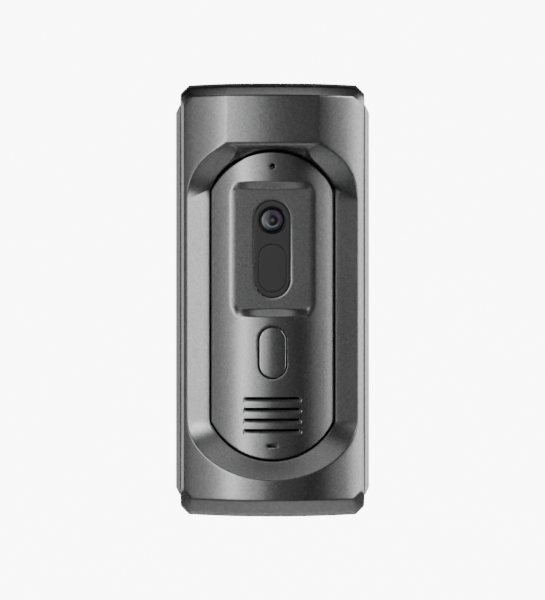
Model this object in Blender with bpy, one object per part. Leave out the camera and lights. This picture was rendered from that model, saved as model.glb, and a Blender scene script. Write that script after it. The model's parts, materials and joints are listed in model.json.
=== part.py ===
"""Video doorbell: a slim die-cast door station with camera, call button and speaker.

Frame: the origin is the centre of the wall face, the front looks along -Y and +Z is up.
Sizes below are millimetres. Every place is given as (x, depth, z), where depth is the
distance out from the wall; solid() turns that into metres, with y = -depth.
"""

import math

import bmesh
import bpy
import numpy as np
from mathutils import Vector

MM = 0.001
GAP = 0.3  # air between two pieces that touch

# Overall body
HEIGHT = 150.0
SHELL_HALF = 32.0
RAIL_HALF = 33.8
CREST = 38.0  # depth of the shell's front at its middle
SHELL_RADIUS = 59.0  # round of the shell's front, across
BROW_RADIUS = 100.0  # flatter round of the brow above the panel
BROW_HALF = 16.0
RAIL_END = 65.5
RAIL_DEPTH = 24.0

# Front shell outlines
RIM_HALF = 30.7
RIM_TOP = 70.3
RIM_BOTTOM = -68.9
EDGE_TOP = 73.6
EDGE_BOTTOM = -73.3
CORNER = 2.9
SHELL_BACK = 15.2
SHELL_WALL = 2.4
RING_HALF = 29.6  # sunken ring, outer outline
RING_ARC_HEIGHT = 21.0
RING_ARC_CENTRE = -40.8
RING_SIDE_TOP = 34.0
BROW_LINE = 52.3
BROW_CORNER = 53.8
VISOR_DROP = 1.7  # the brow's lower edge behind its face
LIP_RISE = 0.1  # the opening's lip over the panel's round
COLLAR_DEPTH = 22.0
COLLAR_WIDTH = 2.2

# Front panel
PANEL_HALF = 21.4
PANEL_CREST = 31.0
PANEL_RADIUS = 42.0
END_RADIUS = 24.0
ARC_TOP = 27.3  # centre of the top end's arc
ARC_BOTTOM = -31.3
PANEL_GAP = 0.7
PANEL_WALL = 2.0
PANEL_FLOOR = 26.4  # depth of the flat inside of the panel
FLANGE_BACK = 18.8
FLANGE_FRONT = 20.3
FLANGE_OUT = 2.0
EAR = (25.8, (30.0, -34.0))
FIELD_LEVEL = 28.55  # flat camera field
FIELD_TOP = 38.4
FIELD_BOTTOM = -3.05

# Camera window, lens, night light
WINDOW = (6.3, 16.95, 17.65)  # half width, half height, centre z
LENS_Z = 27.7
LENS_R = 4.65
IR = (4.85, 8.4, 11.0)

# Call button
BUTTON = (4.75, 8.8, -18.2)
BUTTON_GAP = 0.4
BUTTON_TRAVEL = 0.8

# Sound openings
MIC_Z = 46.2
MIC_R = 0.9
SLOT_Z = (-34.3, -37.98, -41.66, -45.34)
SLOT_HALF = 9.95
SLOT_R = 0.45
DRAIN_Z = -50.5
SPEAKER = (14.0, 9.5, -39.3)

# Rear housing and wall bracket
HOUSING_BACK = 0.3
HOUSING_FRONT = 14.0
HOUSING_HALF_HEIGHT = 74.7
FLOOR_BACK = 2.2
FLOOR_FRONT = 4.2
BRACKET = (28.0, 60.0, 1.6)
POCKET = (28.4, 60.5)
HOOK_X = 18.0
TAMPER = (-16.0, 30.0)
GROMMET_Z = -30.0
SHELL_SCREWS = ((24.0, 64.0), (-24.0, 64.0), (24.0, -66.0), (-24.0, -66.0))
BOARD_SCREWS = ((23.5, 46.0), (-23.5, 46.0), (23.5, -46.0), (-23.5, -46.0))
FRONT_BOARD_SCREWS = ((13.8, 33.0), (-13.8, 33.0), (13.8, -17.0), (-13.8, -17.0))
BOARD_BACK = 8.0
BOARD_FRONT = 9.6
FRONT_BOARD_BACK = 18.6
FRONT_BOARD_FRONT = 19.8
SCREW_SIDES = 10

FINISHES = {
    "gunmetal": ((0.10, 0.10, 0.105), 0.38, 0.85),
    "dark_plastic": ((0.03, 0.03, 0.032), 0.55, 0.0),
    "smoked": ((0.02, 0.02, 0.022), 0.3, 0.0),
    "glass": ((0.35, 0.38, 0.42), 0.08, 0.0),
    "black_metal": ((0.015, 0.015, 0.016), 0.35, 0.6),
    "rubber": ((0.02, 0.02, 0.02), 0.8, 0.0),
    "circuit_board": ((0.02, 0.12, 0.06), 0.5, 0.0),
    "steel": ((0.55, 0.55, 0.56), 0.3, 1.0),
    "zinc_plate": ((0.45, 0.46, 0.47), 0.45, 1.0),
    "green_plastic": ((0.03, 0.25, 0.08), 0.5, 0.0),
    "blue_plastic": ((0.03, 0.10, 0.35), 0.5, 0.0),
    "lamp": ((0.30, 0.28, 0.30), 0.15, 0.0),
    "cone": ((0.05, 0.05, 0.055), 0.7, 0.0),
    "membrane": ((0.75, 0.75, 0.73), 0.8, 0.0),
}

ORIGIN = (0.0, 0.0, 0.0)


def material(finish):
    """The shared material of this finish."""
    found = bpy.data.materials.get(finish)
    if found:
        return found
    colour, roughness, metallic = FINISHES[finish]
    made = bpy.data.materials.new(finish)
    made.use_nodes = True
    shader = made.node_tree.nodes["Principled BSDF"]
    shader.inputs["Base Color"].default_value = (*colour, 1.0)
    shader.inputs["Roughness"].default_value = roughness
    shader.inputs["Metallic"].default_value = metallic
    return made


class Form:
    """Closed bodies gathered into one mesh, in (x, depth, z) millimetres."""

    def __init__(self):
        self.mesh = bmesh.new()

    def add(self, points):
        return [self.mesh.verts.new(tuple(map(float, point))) for point in points]

    def band(self, first, second):
        """Quads between two loops of vertices with the same count."""
        count = len(first)
        for i in range(count):
            j = (i + 1) % count
            self.mesh.faces.new((first[i], first[j], second[j], second[i]))

    def prism(self, outline, low, high):
        """A body over an (x, z) outline, between two depths."""
        near = self.add([(x, low, z) for x, z in outline])
        far = self.add([(x, high, z) for x, z in outline])
        self.band(near, far)
        self.mesh.faces.new(near)
        self.mesh.faces.new(far)
        return self

    def ring(self, outer, inner, low, high):
        """A flat frame between two outlines with the same count."""
        loops = [
            self.add([(x, d, z) for x, z in outline])
            for outline, d in ((outer, low), (outer, high), (inner, high), (inner, low))
        ]
        for i in range(4):
            self.band(loops[i], loops[(i + 1) % 4])
        return self

    def box(self, x, z, depth):
        return self.prism(((x[0], z[0]), (x[1], z[0]), (x[1], z[1]), (x[0], z[1])), *depth)

    def disc(self, x, z, radius, low, high, sides=20):
        return self.prism(circle(x, z, radius, sides), low, high)

    def turned(self, x, z, profile, sides=32):
        """A body turned about the depth axis through (x, z); profile is (radius, depth)
        from its front pole to its back pole."""
        poles = self.add([(x, profile[0][1], z), (x, profile[-1][1], z)])
        loops = []
        for radius, depth in profile[1:-1]:
            loops.append(self.add([(p, depth, q) for p, q in circle(x, z, radius, sides)]))
        for first, second in zip(loops, loops[1:]):
            self.band(first, second)
        for pole, loop in zip(poles, (loops[0], loops[-1])):
            for i in range(sides):
                self.mesh.faces.new((pole, loop[i], loop[(i + 1) % sides]))
        return self

    def shell(self, loops):
        """A tube-like wall through loops of points, the last joined to the first."""
        made = [self.add(loop) for loop in loops]
        for i in range(len(made)):
            self.band(made[i], made[(i + 1) % len(made)])
        return self

    def rod(self, x, depth, radius, low, high, sides=16):
        """A round bar along Z."""
        angles = np.linspace(0, 2 * math.pi, sides, endpoint=False)
        ends = []
        for z in (low, high):
            ends.append(
                self.add([(x + radius * math.cos(a), depth + radius * math.sin(a), z) for a in angles])
            )
            self.mesh.faces.new(ends[-1])
        self.band(*ends)
        return self


def circle(x, z, radius, sides=20):
    angles = np.linspace(0, 2 * math.pi, sides, endpoint=False)
    return [(x + radius * math.cos(a), z + radius * math.sin(a)) for a in angles]


def stadium(x, z, half_width, half_height, sides=24):
    """Outline with round ends, along whichever half size is the longer."""
    radius = min(half_width, half_height)
    points = []
    for i in range(sides):
        angle = 2 * math.pi * (i + 0.5) / sides
        side_x = math.copysign(half_width - radius, math.cos(angle))
        side_z = math.copysign(half_height - radius, math.sin(angle))
        points.append((x + side_x + radius * math.cos(angle), z + side_z + radius * math.sin(angle)))
    return points


def cut_corner(half, low, high, cut):
    """Rectangle outline with its four corners cut off."""
    return [
        (half, low + cut),
        (half, high - cut),
        (half - cut, high),
        (cut - half, high),
        (-half, high - cut),
        (-half, low + cut),
        (cut - half, low),
        (half - cut, low),
    ]


def solid(name, form, finish, origin=ORIGIN, helper=False):
    """Makes the object, in metres, with its faces out and its origin at a place."""
    bmesh.ops.recalc_face_normals(form.mesh, faces=form.mesh.faces)
    place = Vector((origin[0], -origin[1], origin[2])) * MM
    for vertex in form.mesh.verts:
        x, depth, z = vertex.co
        vertex.co = Vector((x, -depth, z)) * MM - place
    # Turning depth into -y turns every face round.
    bmesh.ops.reverse_faces(form.mesh, faces=form.mesh.faces)
    data = bpy.data.meshes.new(name)
    form.mesh.to_mesh(data)
    form.mesh.free()
    made = bpy.data.objects.new(name, data)
    made.location = place
    bpy.context.scene.collection.objects.link(made)
    if helper:
        made.hide_render = True
        made.display_type = "WIRE"
    else:
        data.materials.append(material(finish))
        data.shade_smooth()
        data.set_sharp_from_angle(angle=math.radians(30))
    return made


def combine(target, operation, form):
    """Adds a live Boolean to the target, with its helper beside it."""
    count = len(target.modifiers) + 1
    helper = solid(f"{target.name}_{operation.lower()}_{count}", form, None, helper=True)
    boolean = target.modifiers.new(f"{operation.lower()}_{count}", "BOOLEAN")
    boolean.operation = operation
    boolean.solver = "EXACT"
    boolean.object = helper
    return target


def cut(target, form):
    return combine(target, "DIFFERENCE", form)


def join(target, form):
    return combine(target, "UNION", form)


def drop(radius, x):
    """How far a round of this radius falls away at x."""
    return radius - math.sqrt(radius * radius - x * x)


def front_depth(x, z):
    """Depth of the shell's front: a round, with a flatter brow above the panel."""
    level = CREST - drop(SHELL_RADIUS, x)
    if z > 0 and abs(x) < BROW_HALF:
        foot = CREST - drop(SHELL_RADIUS, BROW_HALF)
        level = min(level, foot + drop(BROW_RADIUS, BROW_HALF) - drop(BROW_RADIUS, x))
    return level


def panel_depth(x):
    return PANEL_CREST - drop(PANEL_RADIUS, x)


# The shell's loops all take the same stations along the right half, bottom to top:
# the lower arc, the straight side, the S-shaped shoulder and the brow.
ARC_STEPS, SIDE_STEPS, SHOULDER_STEPS, BROW_STEPS = 10, 4, 12, 4


def spread(start, end, steps):
    """Points after start, up to and with end."""
    return [
        tuple(a + (b - a) * i / steps for a, b in zip(start, end)) for i in range(1, steps + 1)
    ]


def bezier(points, steps):
    """Points of a cubic curve, after its start."""
    made = []
    for i in range(1, steps + 1):
        t = i / steps
        weights = ((1 - t) ** 3, 3 * t * (1 - t) ** 2, 3 * t * t * (1 - t), t**3)
        made.append(tuple(sum(w * p[k] for w, p in zip(weights, points)) for k in range(2)))
    return made


def frame_half(half, bottom, top, corner):
    """Right half of a rectangle with cut corners, at the loops' stations."""
    points = [(0.0, bottom)]
    points += spread((0.0, bottom), (half - corner, bottom), 6)
    points += [(half, bottom + corner)]
    points += spread((half, bottom + corner), (half, RING_ARC_CENTRE), 3)
    points += spread((half, RING_ARC_CENTRE), (half, RING_SIDE_TOP), SIDE_STEPS)
    points += spread((half, RING_SIDE_TOP), (half, top - corner), 5)
    points += [(half - corner, top)]
    points += spread((half - corner, top), (BROW_HALF, top), 6)
    points += spread((BROW_HALF, top), (0.0, top), BROW_STEPS)
    return points


def ring_half(half, arc_height, shift, brow):
    """Right half of the sunken ring's outline: ellipse, side, S curve, brow line."""
    points = []
    for i in range(ARC_STEPS + 1):
        angle = 0.5 * math.pi * i / ARC_STEPS
        points.append((half * math.sin(angle), RING_ARC_CENTRE - arc_height * math.cos(angle)))
    points += spread((half, RING_ARC_CENTRE), (half, RING_SIDE_TOP), SIDE_STEPS)
    corner = (BROW_HALF + shift, BROW_CORNER + shift)
    handles = ((half, RING_SIDE_TOP + 13.0 + shift), (corner[0] + 5.0, corner[1] - 2.8))
    points += bezier(((half, RING_SIDE_TOP), *handles, corner), SHOULDER_STEPS)
    points += spread(corner, (0.0, brow), BROW_STEPS)
    return points


def pill_half(offset, lift=None):
    """Right half of the panel's outline, grown by offset. lift adds a growth of its own
    to each shoulder and brow station, measured from the end arc's centre."""
    half, radius = PANEL_HALF + offset, END_RADIUS + offset
    corner = math.asin(half / radius)
    points = []
    for i in range(ARC_STEPS):
        angle = corner * i / (ARC_STEPS - 1)
        points.append((radius * math.sin(angle), ARC_BOTTOM - radius * math.cos(angle)))
    points += [(half, RING_ARC_CENTRE)]
    points += spread((half, RING_ARC_CENTRE), (half, RING_SIDE_TOP), SIDE_STEPS)
    for i in range(1, SHOULDER_STEPS + BROW_STEPS + 1):
        angle = arch_angle(i, corner)
        grown = radius + (lift(i) if lift else 0.0)
        side = min(half, grown * math.sin(angle))
        points.append((side, ARC_TOP + grown * math.cos(angle)))
    return points


BROW_ANGLE = math.radians(26.5)


def arch_angle(station, corner):
    """Angle from the top of the panel's arch at a shoulder or brow station."""
    if station <= SHOULDER_STEPS:
        share = (station - 1) / (SHOULDER_STEPS - 1)
        return corner + (BROW_ANGLE - corner) * share**0.8
    return BROW_ANGLE * (1 - (station - SHOULDER_STEPS) / BROW_STEPS)


def brow_lift(station):
    """How far the brow's lower edge stands off the arch at a station."""
    if station <= SHOULDER_STEPS:
        return 0.25 + 2.98 * math.exp((station - SHOULDER_STEPS) / 1.5)
    angle = arch_angle(station, 0.0)
    return (BROW_LINE - ARC_TOP) / math.cos(angle) - END_RADIUS - PANEL_GAP


def both_sides(half_points, depths):
    """Closed loop of (x, depth, z) from the right half's points and their depths."""
    right = [(x, d, z) for (x, z), d in zip(half_points, depths)]
    left = [(-x, d, z) for x, d, z in reversed(right[1:-1])]
    return right + left


def closed_outline(half_points):
    """Closed (x, z) outline from the right half's points."""
    return half_points + [(-x, z) for x, z in reversed(half_points[1:-1])]


def chamfer_depth(x, z):
    """Depth on the bevel round the shell's front."""
    over_side = max(0.0, abs(x) - RIM_HALF)
    over_end = max(0.0, z - RIM_TOP, RIM_BOTTOM - z)
    return front_depth(min(abs(x), RIM_HALF), z) - 1.2 * over_side - 0.9 * over_end


def shell_loops():
    """The front shell's wall, from the panel opening out over the front and back inside."""
    opening = pill_half(PANEL_GAP)
    opening_depth = [panel_depth(x) + LIP_RISE for x, _ in opening]
    step = ARC_STEPS + SIDE_STEPS
    edge = pill_half(PANEL_GAP + 0.25, lambda i: brow_lift(i) - 0.25)
    crease = step + SHOULDER_STEPS
    climb = front_depth(*edge[crease]) - VISOR_DROP - opening_depth[crease] - 0.15
    edge_depth = []
    for i, (x, z) in enumerate(edge):
        share = max(0.0, (i - step) / SHOULDER_STEPS)
        level = opening_depth[i] + 0.15 + climb * share**1.2
        if i >= crease:
            level = front_depth(x, z) - VISOR_DROP
        edge_depth.append(level)
    outer = ring_half(RING_HALF, RING_ARC_HEIGHT, 0.0, BROW_LINE + 1.4)
    rim = frame_half(RIM_HALF, RIM_BOTTOM, RIM_TOP, CORNER)
    front_edge = frame_half(SHELL_HALF, EDGE_BOTTOM, EDGE_TOP, CORNER)
    side = frame_half(SHELL_HALF, -HEIGHT / 2, HEIGHT / 2, CORNER)
    inside = frame_half(SHELL_HALF - 2.0, 2.2 - HEIGHT / 2, HEIGHT / 2 - 2.2, CORNER)
    shoulder = frame_half(RIM_HALF - 0.8, RIM_BOTTOM + 1.3, RIM_TOP - 1.3, CORNER)
    inner = ring_half(RING_HALF - 0.3, RING_ARC_HEIGHT + 1.5, 2.0, BROW_LINE + 2.6)
    collar = pill_half(PANEL_GAP + COLLAR_WIDTH)
    chamfer = [chamfer_depth(x, z) for x, z in front_edge]
    count = len(opening)
    return [
        both_sides(opening, opening_depth),
        both_sides(edge, edge_depth),
        both_sides(outer, [front_depth(x, z) for x, z in outer]),
        both_sides(rim, [front_depth(x, z) for x, z in rim]),
        both_sides(front_edge, chamfer),
        both_sides(side, [depth - 5.0 for depth in chamfer]),
        both_sides(side, [SHELL_BACK] * count),
        both_sides(inside, [SHELL_BACK] * count),
        both_sides(shoulder, [front_depth(x, z) - SHELL_WALL - 0.3 for x, z in shoulder]),
        both_sides(inner, [front_depth(x, z) - SHELL_WALL - 0.4 for x, z in inner]),
        both_sides(collar, [COLLAR_DEPTH] * count),
        both_sides(opening, [COLLAR_DEPTH] * count),
    ]


def make_front_shell():
    shell = solid("front_shell", Form().shell(shell_loops()), "gunmetal")
    posts, holes = Form(), Form()
    for x, z in SHELL_SCREWS:
        posts.disc(x, z, 3.2, SHELL_BACK - 0.6, front_depth(abs(x) + 3.2, z) - 0.8)
        holes.disc(x, z, 1.8, SHELL_BACK - 2.0, 23.0)
    for z in EAR[1]:
        for x in (EAR[0], -EAR[0]):
            posts.disc(x, z, 2.6, COLLAR_DEPTH - 0.1, 24.5)
            holes.disc(x, z, 1.35, COLLAR_DEPTH - 1.0, 24.3)
    return cut(join(shell, posts), holes)


def panel_grid(offset, depth_of, columns=19, rows=9):
    """Grid of points under the panel's outline: columns across, rows up."""
    half, radius = PANEL_HALF + offset, END_RADIUS + offset
    grid = []
    for i in range(rows):
        share = i / (rows - 1)
        row = []
        for j in range(columns):
            x = half * (2 * j / (columns - 1) - 1)
            reach = math.sqrt(radius * radius - x * x)
            z = (ARC_BOTTOM - reach) * (1 - share) + (ARC_TOP + reach) * share
            row.append((x, depth_of(x), z))
        grid.append(row)
    return grid


def grid_border(grid):
    """The grid's outer points, in order round it."""
    right = [row[-1] for row in grid[1:-1]]
    left = [row[0] for row in grid[-2:0:-1]]
    return grid[0] + right + grid[-1][::-1] + left


def make_front_panel():
    """A cup: rounded face, skirt down to a flange, and the hollow behind."""
    form = Form()

    def face(grid):
        made = [form.add(row) for row in grid]
        for low, high in zip(made, made[1:]):
            for j in range(len(low) - 1):
                form.mesh.faces.new((low[j], low[j + 1], high[j + 1], high[j]))
        return grid_border(made)

    def level(offset, depth):
        return form.add(grid_border(panel_grid(offset, lambda x: depth)))

    loops = [
        face(panel_grid(0.0, panel_depth)),
        level(0.0, FLANGE_FRONT),
        level(FLANGE_OUT, FLANGE_FRONT),
        level(FLANGE_OUT, FLANGE_BACK),
        level(-PANEL_WALL, FLANGE_BACK),
        face(panel_grid(-PANEL_WALL, lambda x: min(panel_depth(x) - PANEL_WALL, PANEL_FLOOR))),
    ]
    for first, second in zip(loops, loops[1:]):
        form.band(first, second)
    panel = solid("front_panel", form, "gunmetal")

    added, holes, openings = Form(), Form(), Form()
    for x, z in FRONT_BOARD_SCREWS:
        added.disc(x, z, 2.3, FRONT_BOARD_FRONT + GAP, PANEL_FLOOR + 0.5)
        holes.disc(x, z, 1.3, FRONT_BOARD_FRONT - 1.0, 24.5)
    for z in EAR[1]:
        for x in (EAR[0], -EAR[0]):
            added.disc(x, z, 2.6, FLANGE_BACK, FLANGE_FRONT)
            holes.disc(x, z, 1.3, FLANGE_BACK - 1.0, FLANGE_FRONT + 1.0)
    openings.prism(stadium(0, WINDOW[2], WINDOW[0], WINDOW[1], 32), PANEL_FLOOR - 2, CREST)
    button_hole = stadium(0, BUTTON[2], BUTTON[0] + BUTTON_GAP, BUTTON[1] + BUTTON_GAP, 32)
    openings.prism(button_hole, PANEL_FLOOR - 2, CREST)
    for z in SLOT_Z:
        openings.prism(stadium(0, z + 0.35, SLOT_HALF, SLOT_R, 12), PANEL_FLOOR - 2, CREST)
    openings.prism(stadium(0, DRAIN_Z, 1.8, 0.55, 12), PANEL_FLOOR - 2, CREST)
    openings.disc(0, MIC_Z, MIC_R, PANEL_FLOOR - 2, CREST, 16)
    field = Form()
    flat = cut_corner(12.6, FIELD_BOTTOM, FIELD_TOP, 2.0)
    mouth = cut_corner(15.4, FIELD_BOTTOM - 2.9, FIELD_TOP + 2.55, 3.0)
    field_low = field.add([(x, FIELD_LEVEL, z) for x, z in flat])
    field_high = field.add([(x, PANEL_CREST + 0.02, z) for x, z in mouth])
    field_lid = field.add([(x, CREST, z) for x, z in mouth])
    field.band(field_low, field_high)
    field.band(field_high, field_lid)
    field.mesh.faces.new(field_low)
    field.mesh.faces.new(field_lid)
    join(panel, added)
    for cutter in (holes, field, openings):
        cut(panel, cutter)
    return panel


def make_panel_fittings():
    outer = closed_outline(pill_half(1.7))
    inner = closed_outline(pill_half(0.35))
    solid("panel_gasket", Form().ring(outer, inner, FLANGE_FRONT + GAP, COLLAR_DEPTH - 0.4), "rubber")
    places = [(x, z) for z in EAR[1] for x in (EAR[0], -EAR[0])]
    make_screws("panel_screw", places, FLANGE_BACK - GAP, 24.0, 1.0, 2.1, 1.7)


def make_screws(name, places, seat, tip, shank, head, head_height):
    """Screws whose heads sit below a seat depth and whose tips lie further out."""
    for number, (x, z) in enumerate(places, 1):
        back = seat - head_height
        profile = (
            (0.0, back + 0.6),
            (head * 0.45, back + 0.6),
            (head * 0.45, back),
            (head * 0.9, back),
            (head, back + 0.4),
            (head, seat),
            (shank, seat),
            (shank, tip - shank * 0.6),
            (shank * 0.4, tip),
            (0.0, tip),
        )
        solid(f"{name}_{number}", Form().turned(x, z, profile, SCREW_SIDES), "steel")


def make_camera():
    window = Form().prism(stadium(0, WINDOW[2], WINDOW[0] - GAP, WINDOW[1] - GAP, 32), 25.6, 28.35)
    glass_hole = Form().disc(0, LENS_Z, LENS_R + GAP, 20, 40, 32)
    glass_hole.prism(stadium(0, IR[2], IR[0], IR[1], 24), 20, 40)
    flange = Form().prism(stadium(0, WINDOW[2], WINDOW[0] + 1.2, WINDOW[1] + 1.2, 32), 24.6, 26.1)
    cut(join(solid("camera_window", window, "smoked"), flange), glass_hole)

    bezel = [(LENS_R, 25.2), (LENS_R, 28.6), (LENS_R - 0.5, 28.8), (3.3, 27.9), (3.3, 25.2)]
    loops = [[(p, d, q) for p, q in circle(0, LENS_Z, r, 32)] for r, d in bezel]
    solid("lens_bezel", Form().shell(loops), "black_metal")
    dome = [(0.0, 28.3), (1.5, 28.2), (2.4, 27.85), (3.0, 27.3), (3.0, 26.3), (0.0, 26.3)]
    solid("lens_glass", Form().turned(0, LENS_Z, dome), "glass")
    barrel = [(3.1, 22.4), (3.1, 26.0), (2.6, 26.0), (1.4, 24.0), (1.4, 22.4)]
    loops = [[(p, d, q) for p, q in circle(0, LENS_Z, r, 24)] for r, d in barrel]
    solid("lens_barrel", Form().shell(loops), "black_metal")
    holder = Form().box((-6.0, 6.0), (LENS_Z - 6.0, LENS_Z + 6.0), (FRONT_BOARD_FRONT + GAP, 24.2))
    bore = Form().disc(0, LENS_Z, 3.4, 22.0, 26.0, 24)
    bore.box((-4.6, 4.6), (LENS_Z - 4.6, LENS_Z + 4.6), (FRONT_BOARD_FRONT, 21.9))
    way = Form().disc(0, LENS_Z, 1.6, 21.0, 23.0, 16)
    cut(cut(solid("lens_holder", holder, "dark_plastic"), bore), way)
    sensor = Form().box((-3.6, 3.6), (LENS_Z - 3.2, LENS_Z + 3.2), (FRONT_BOARD_FRONT + GAP, 21.2))
    solid("image_sensor", sensor, "smoked")

    ir = Form().prism(stadium(0, IR[2], IR[0] - GAP, IR[1] - GAP, 24), 25.2, 28.2)
    solid("ir_window", ir, "smoked")
    dome = ((0.0, 23.6), (1.2, 23.3), (2.0, 22.4), (2.3, 21.2), (2.3, 20.1), (0.0, 20.1))
    for name, z in (("ir_led_upper", 15.6), ("ir_led_lower", 6.4)):
        solid(name, Form().turned(0, z, dome, 16), "lamp")
    cell = Form().box((-1.0, 1.0), (10.0, 12.0), (FRONT_BOARD_FRONT + GAP, 21.4))
    solid("light_sensor", cell, "lamp")


def make_button():
    """Domed cap that follows the panel's round, with a flange and a stem behind."""
    x_half, z_half, centre = BUTTON
    origin = (0.0, 22.0, centre)
    outline = stadium(0, centre, x_half, z_half, 32)
    form = Form()
    loops = [form.add([(x, PANEL_FLOOR - 1.4, z) for x, z in outline])]
    for scale, rise in ((1.0, -0.35), (0.955, 0.0), (0.7, 0.1), (0.35, 0.15)):
        ring = [(x * scale, centre + (z - centre) * scale) for x, z in outline]
        loops.append(form.add([(x, panel_depth(x) + rise, z) for x, z in ring]))
    for first, second in zip(loops, loops[1:]):
        form.band(first, second)
    form.mesh.faces.new(loops[0])
    form.mesh.faces.new(loops[-1])
    button = solid("call_button", form, "gunmetal", origin)
    flange = Form().prism(stadium(0, centre, x_half + 1.1, z_half + 1.1, 32), 24.6, 26.1)
    stem = Form().disc(0, centre, 2.0, 23.5, 25.0, 16)
    join(join(button, flange), stem)

    outer = stadium(0, centre, x_half + 1.9, z_half + 1.9, 32)
    inner = stadium(0, centre, x_half + 1.4, z_half + 1.4, 32)
    solid("button_seal", Form().ring(outer, inner, 23.4, 26.1), "rubber")
    body = Form().box((-3.0, 3.0), (centre - 3.0, centre + 3.0), (FRONT_BOARD_FRONT + GAP, 22.0))
    well = Form().disc(0, centre, 1.9, 21.6 - BUTTON_TRAVEL - 0.4, 23.0, 16)
    cut(solid("switch_body", body, "dark_plastic"), well)
    solid("switch_plunger", Form().disc(0, centre, 1.6, 21.6, 23.2, 16), "dark_plastic", origin)


def make_sound():
    half, tall, z = SPEAKER
    centre_line = (0.0, 20.0, z)

    def oval(grow):
        return stadium(0, z, half + grow, tall + grow, 28)

    # Each (growth of the oval, depth), once round the basket's wall.
    wall = ((0, 21.6), (0, 20.2), (-2.5, 16.5), (-5.5, 16.5), (-5.5, 17.6), (-3.2, 17.6), (-1.4, 21.6))
    loops = [[(x, d, q) for x, q in oval(grow)] for grow, d in wall]
    solid("speaker_basket", Form().shell(loops), "black_metal")
    solid("speaker_magnet", Form().disc(0, z, 6.5, 12.2, 16.2, 24), "zinc_plate")
    cone = Form()
    front = [
        cone.add([(x, d, q) for x, q in oval(grow)])
        for grow, d in ((-2.2, 21.0), (-6.8, 18.9), (-6.8, 18.3), (-3.0, 20.0))
    ]
    for first, second in zip(front, front[1:] + front[:1]):
        cone.band(first, second)
    cone_piece = solid("speaker_cone", cone, "cone", centre_line)
    join(cone_piece, Form().prism(oval(-6.4), 18.4, 18.85))
    solid("speaker_gasket", Form().ring(oval(-0.2), oval(-2.0), 22.0, PANEL_FLOOR - GAP), "rubber")
    capsule = Form().disc(0, MIC_Z, 2.0, FRONT_BOARD_FRONT + GAP, 21.6, 16)
    solid("microphone", capsule, "steel")
    sleeve = Form().ring(circle(0, MIC_Z, 3.0, 20), circle(0, MIC_Z, 1.0, 20), 21.9, PANEL_FLOOR - GAP)
    solid("microphone_boot", sleeve, "rubber")
    solid("vent_membrane", Form().prism(stadium(0, -50.5, 2.4, 1.2, 16), 25.4, 26.1), "membrane")


def make_boards():
    board = Form().box((-26.0, 26.0), (-57.0, 59.0), (BOARD_BACK, BOARD_FRONT))
    holes = Form()
    for x, z in BOARD_SCREWS:
        holes.disc(x, z, 1.5, 5, 12, 16)
    holes.disc(*TAMPER, 0.8, 5, 12, 12)
    cut(solid("main_board", board, "circuit_board"), holes)
    make_front_screws("main_board_screw", BOARD_SCREWS, BOARD_FRONT + GAP, 5.4)
    can = Form().box((-12.0, 12.0), (-18.0, 10.0), (BOARD_FRONT + GAP, 12.9))
    solid("shield_can", can, "steel")
    block = Form().box((-16.0, 16.0), (47.0, 57.0), (BOARD_FRONT + GAP, 18.5))
    clamps = Form()
    for i in range(6):
        clamps.box((-14.4 + 5 * i, -10.6 + 5 * i), (50.0, 60.0), (11.5, 15.5))
        clamps.disc(-12.5 + 5 * i, 52.0, 1.6, 15.0, 20.0, 12)
    cut(solid("terminal_block", block, "green_plastic"), clamps)
    relay = Form().box((-23.2, -13.4), (-38.5, -20.0), (BOARD_FRONT + GAP, 17.6))
    solid("lock_relay", relay, "blue_plastic")
    crown = [(0.0, 17.5), (2.6, 17.5), (3.6, 17.2), (4.0, 16.6)]
    groove = [(4.0, 10.8), (3.7, 10.5), (4.0, 9.9), (0.0, 9.9)]
    solid("capacitor", Form().turned(20.0, -10.0, crown + groove, 20), "zinc_plate")
    ribbon = Form().box((8.0, 18.0), (20.0, 20.4), (BOARD_FRONT + GAP, FRONT_BOARD_BACK - GAP))
    solid("board_ribbon", ribbon, "membrane")

    right = [(16.5, -24.0), (16.5, 38.0), (4.5, 38.0), (4.5, 48.3)]
    outline = right + [(-x, z) for x, z in reversed(right)]
    front = Form().prism(outline, FRONT_BOARD_BACK, FRONT_BOARD_FRONT)
    holes = Form()
    for x, z in FRONT_BOARD_SCREWS:
        holes.disc(x, z, 1.3, 17, 21, 16)
    cut(solid("front_board", front, "circuit_board"), holes)
    seat = FRONT_BOARD_BACK - GAP
    make_screws("front_board_screw", FRONT_BOARD_SCREWS, seat, 24.0, 1.0, 2.1, 1.6)


def make_front_screws(name, places, seat, tip):
    """Screws driven from the front: heads further out than the seat."""
    for number, (x, z) in enumerate(places, 1):
        profile = (
            (0.0, seat + 0.9),
            (1.0, seat + 0.9),
            (1.0, seat + 1.5),
            (2.0, seat + 1.5),
            (2.3, seat + 1.1),
            (2.3, seat),
            (1.1, seat),
            (1.1, tip + 0.5),
            (0.5, tip),
            (0.0, tip),
        )
        solid(f"{name}_{number}", Form().turned(x, z, profile, SCREW_SIDES), "steel")


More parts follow.
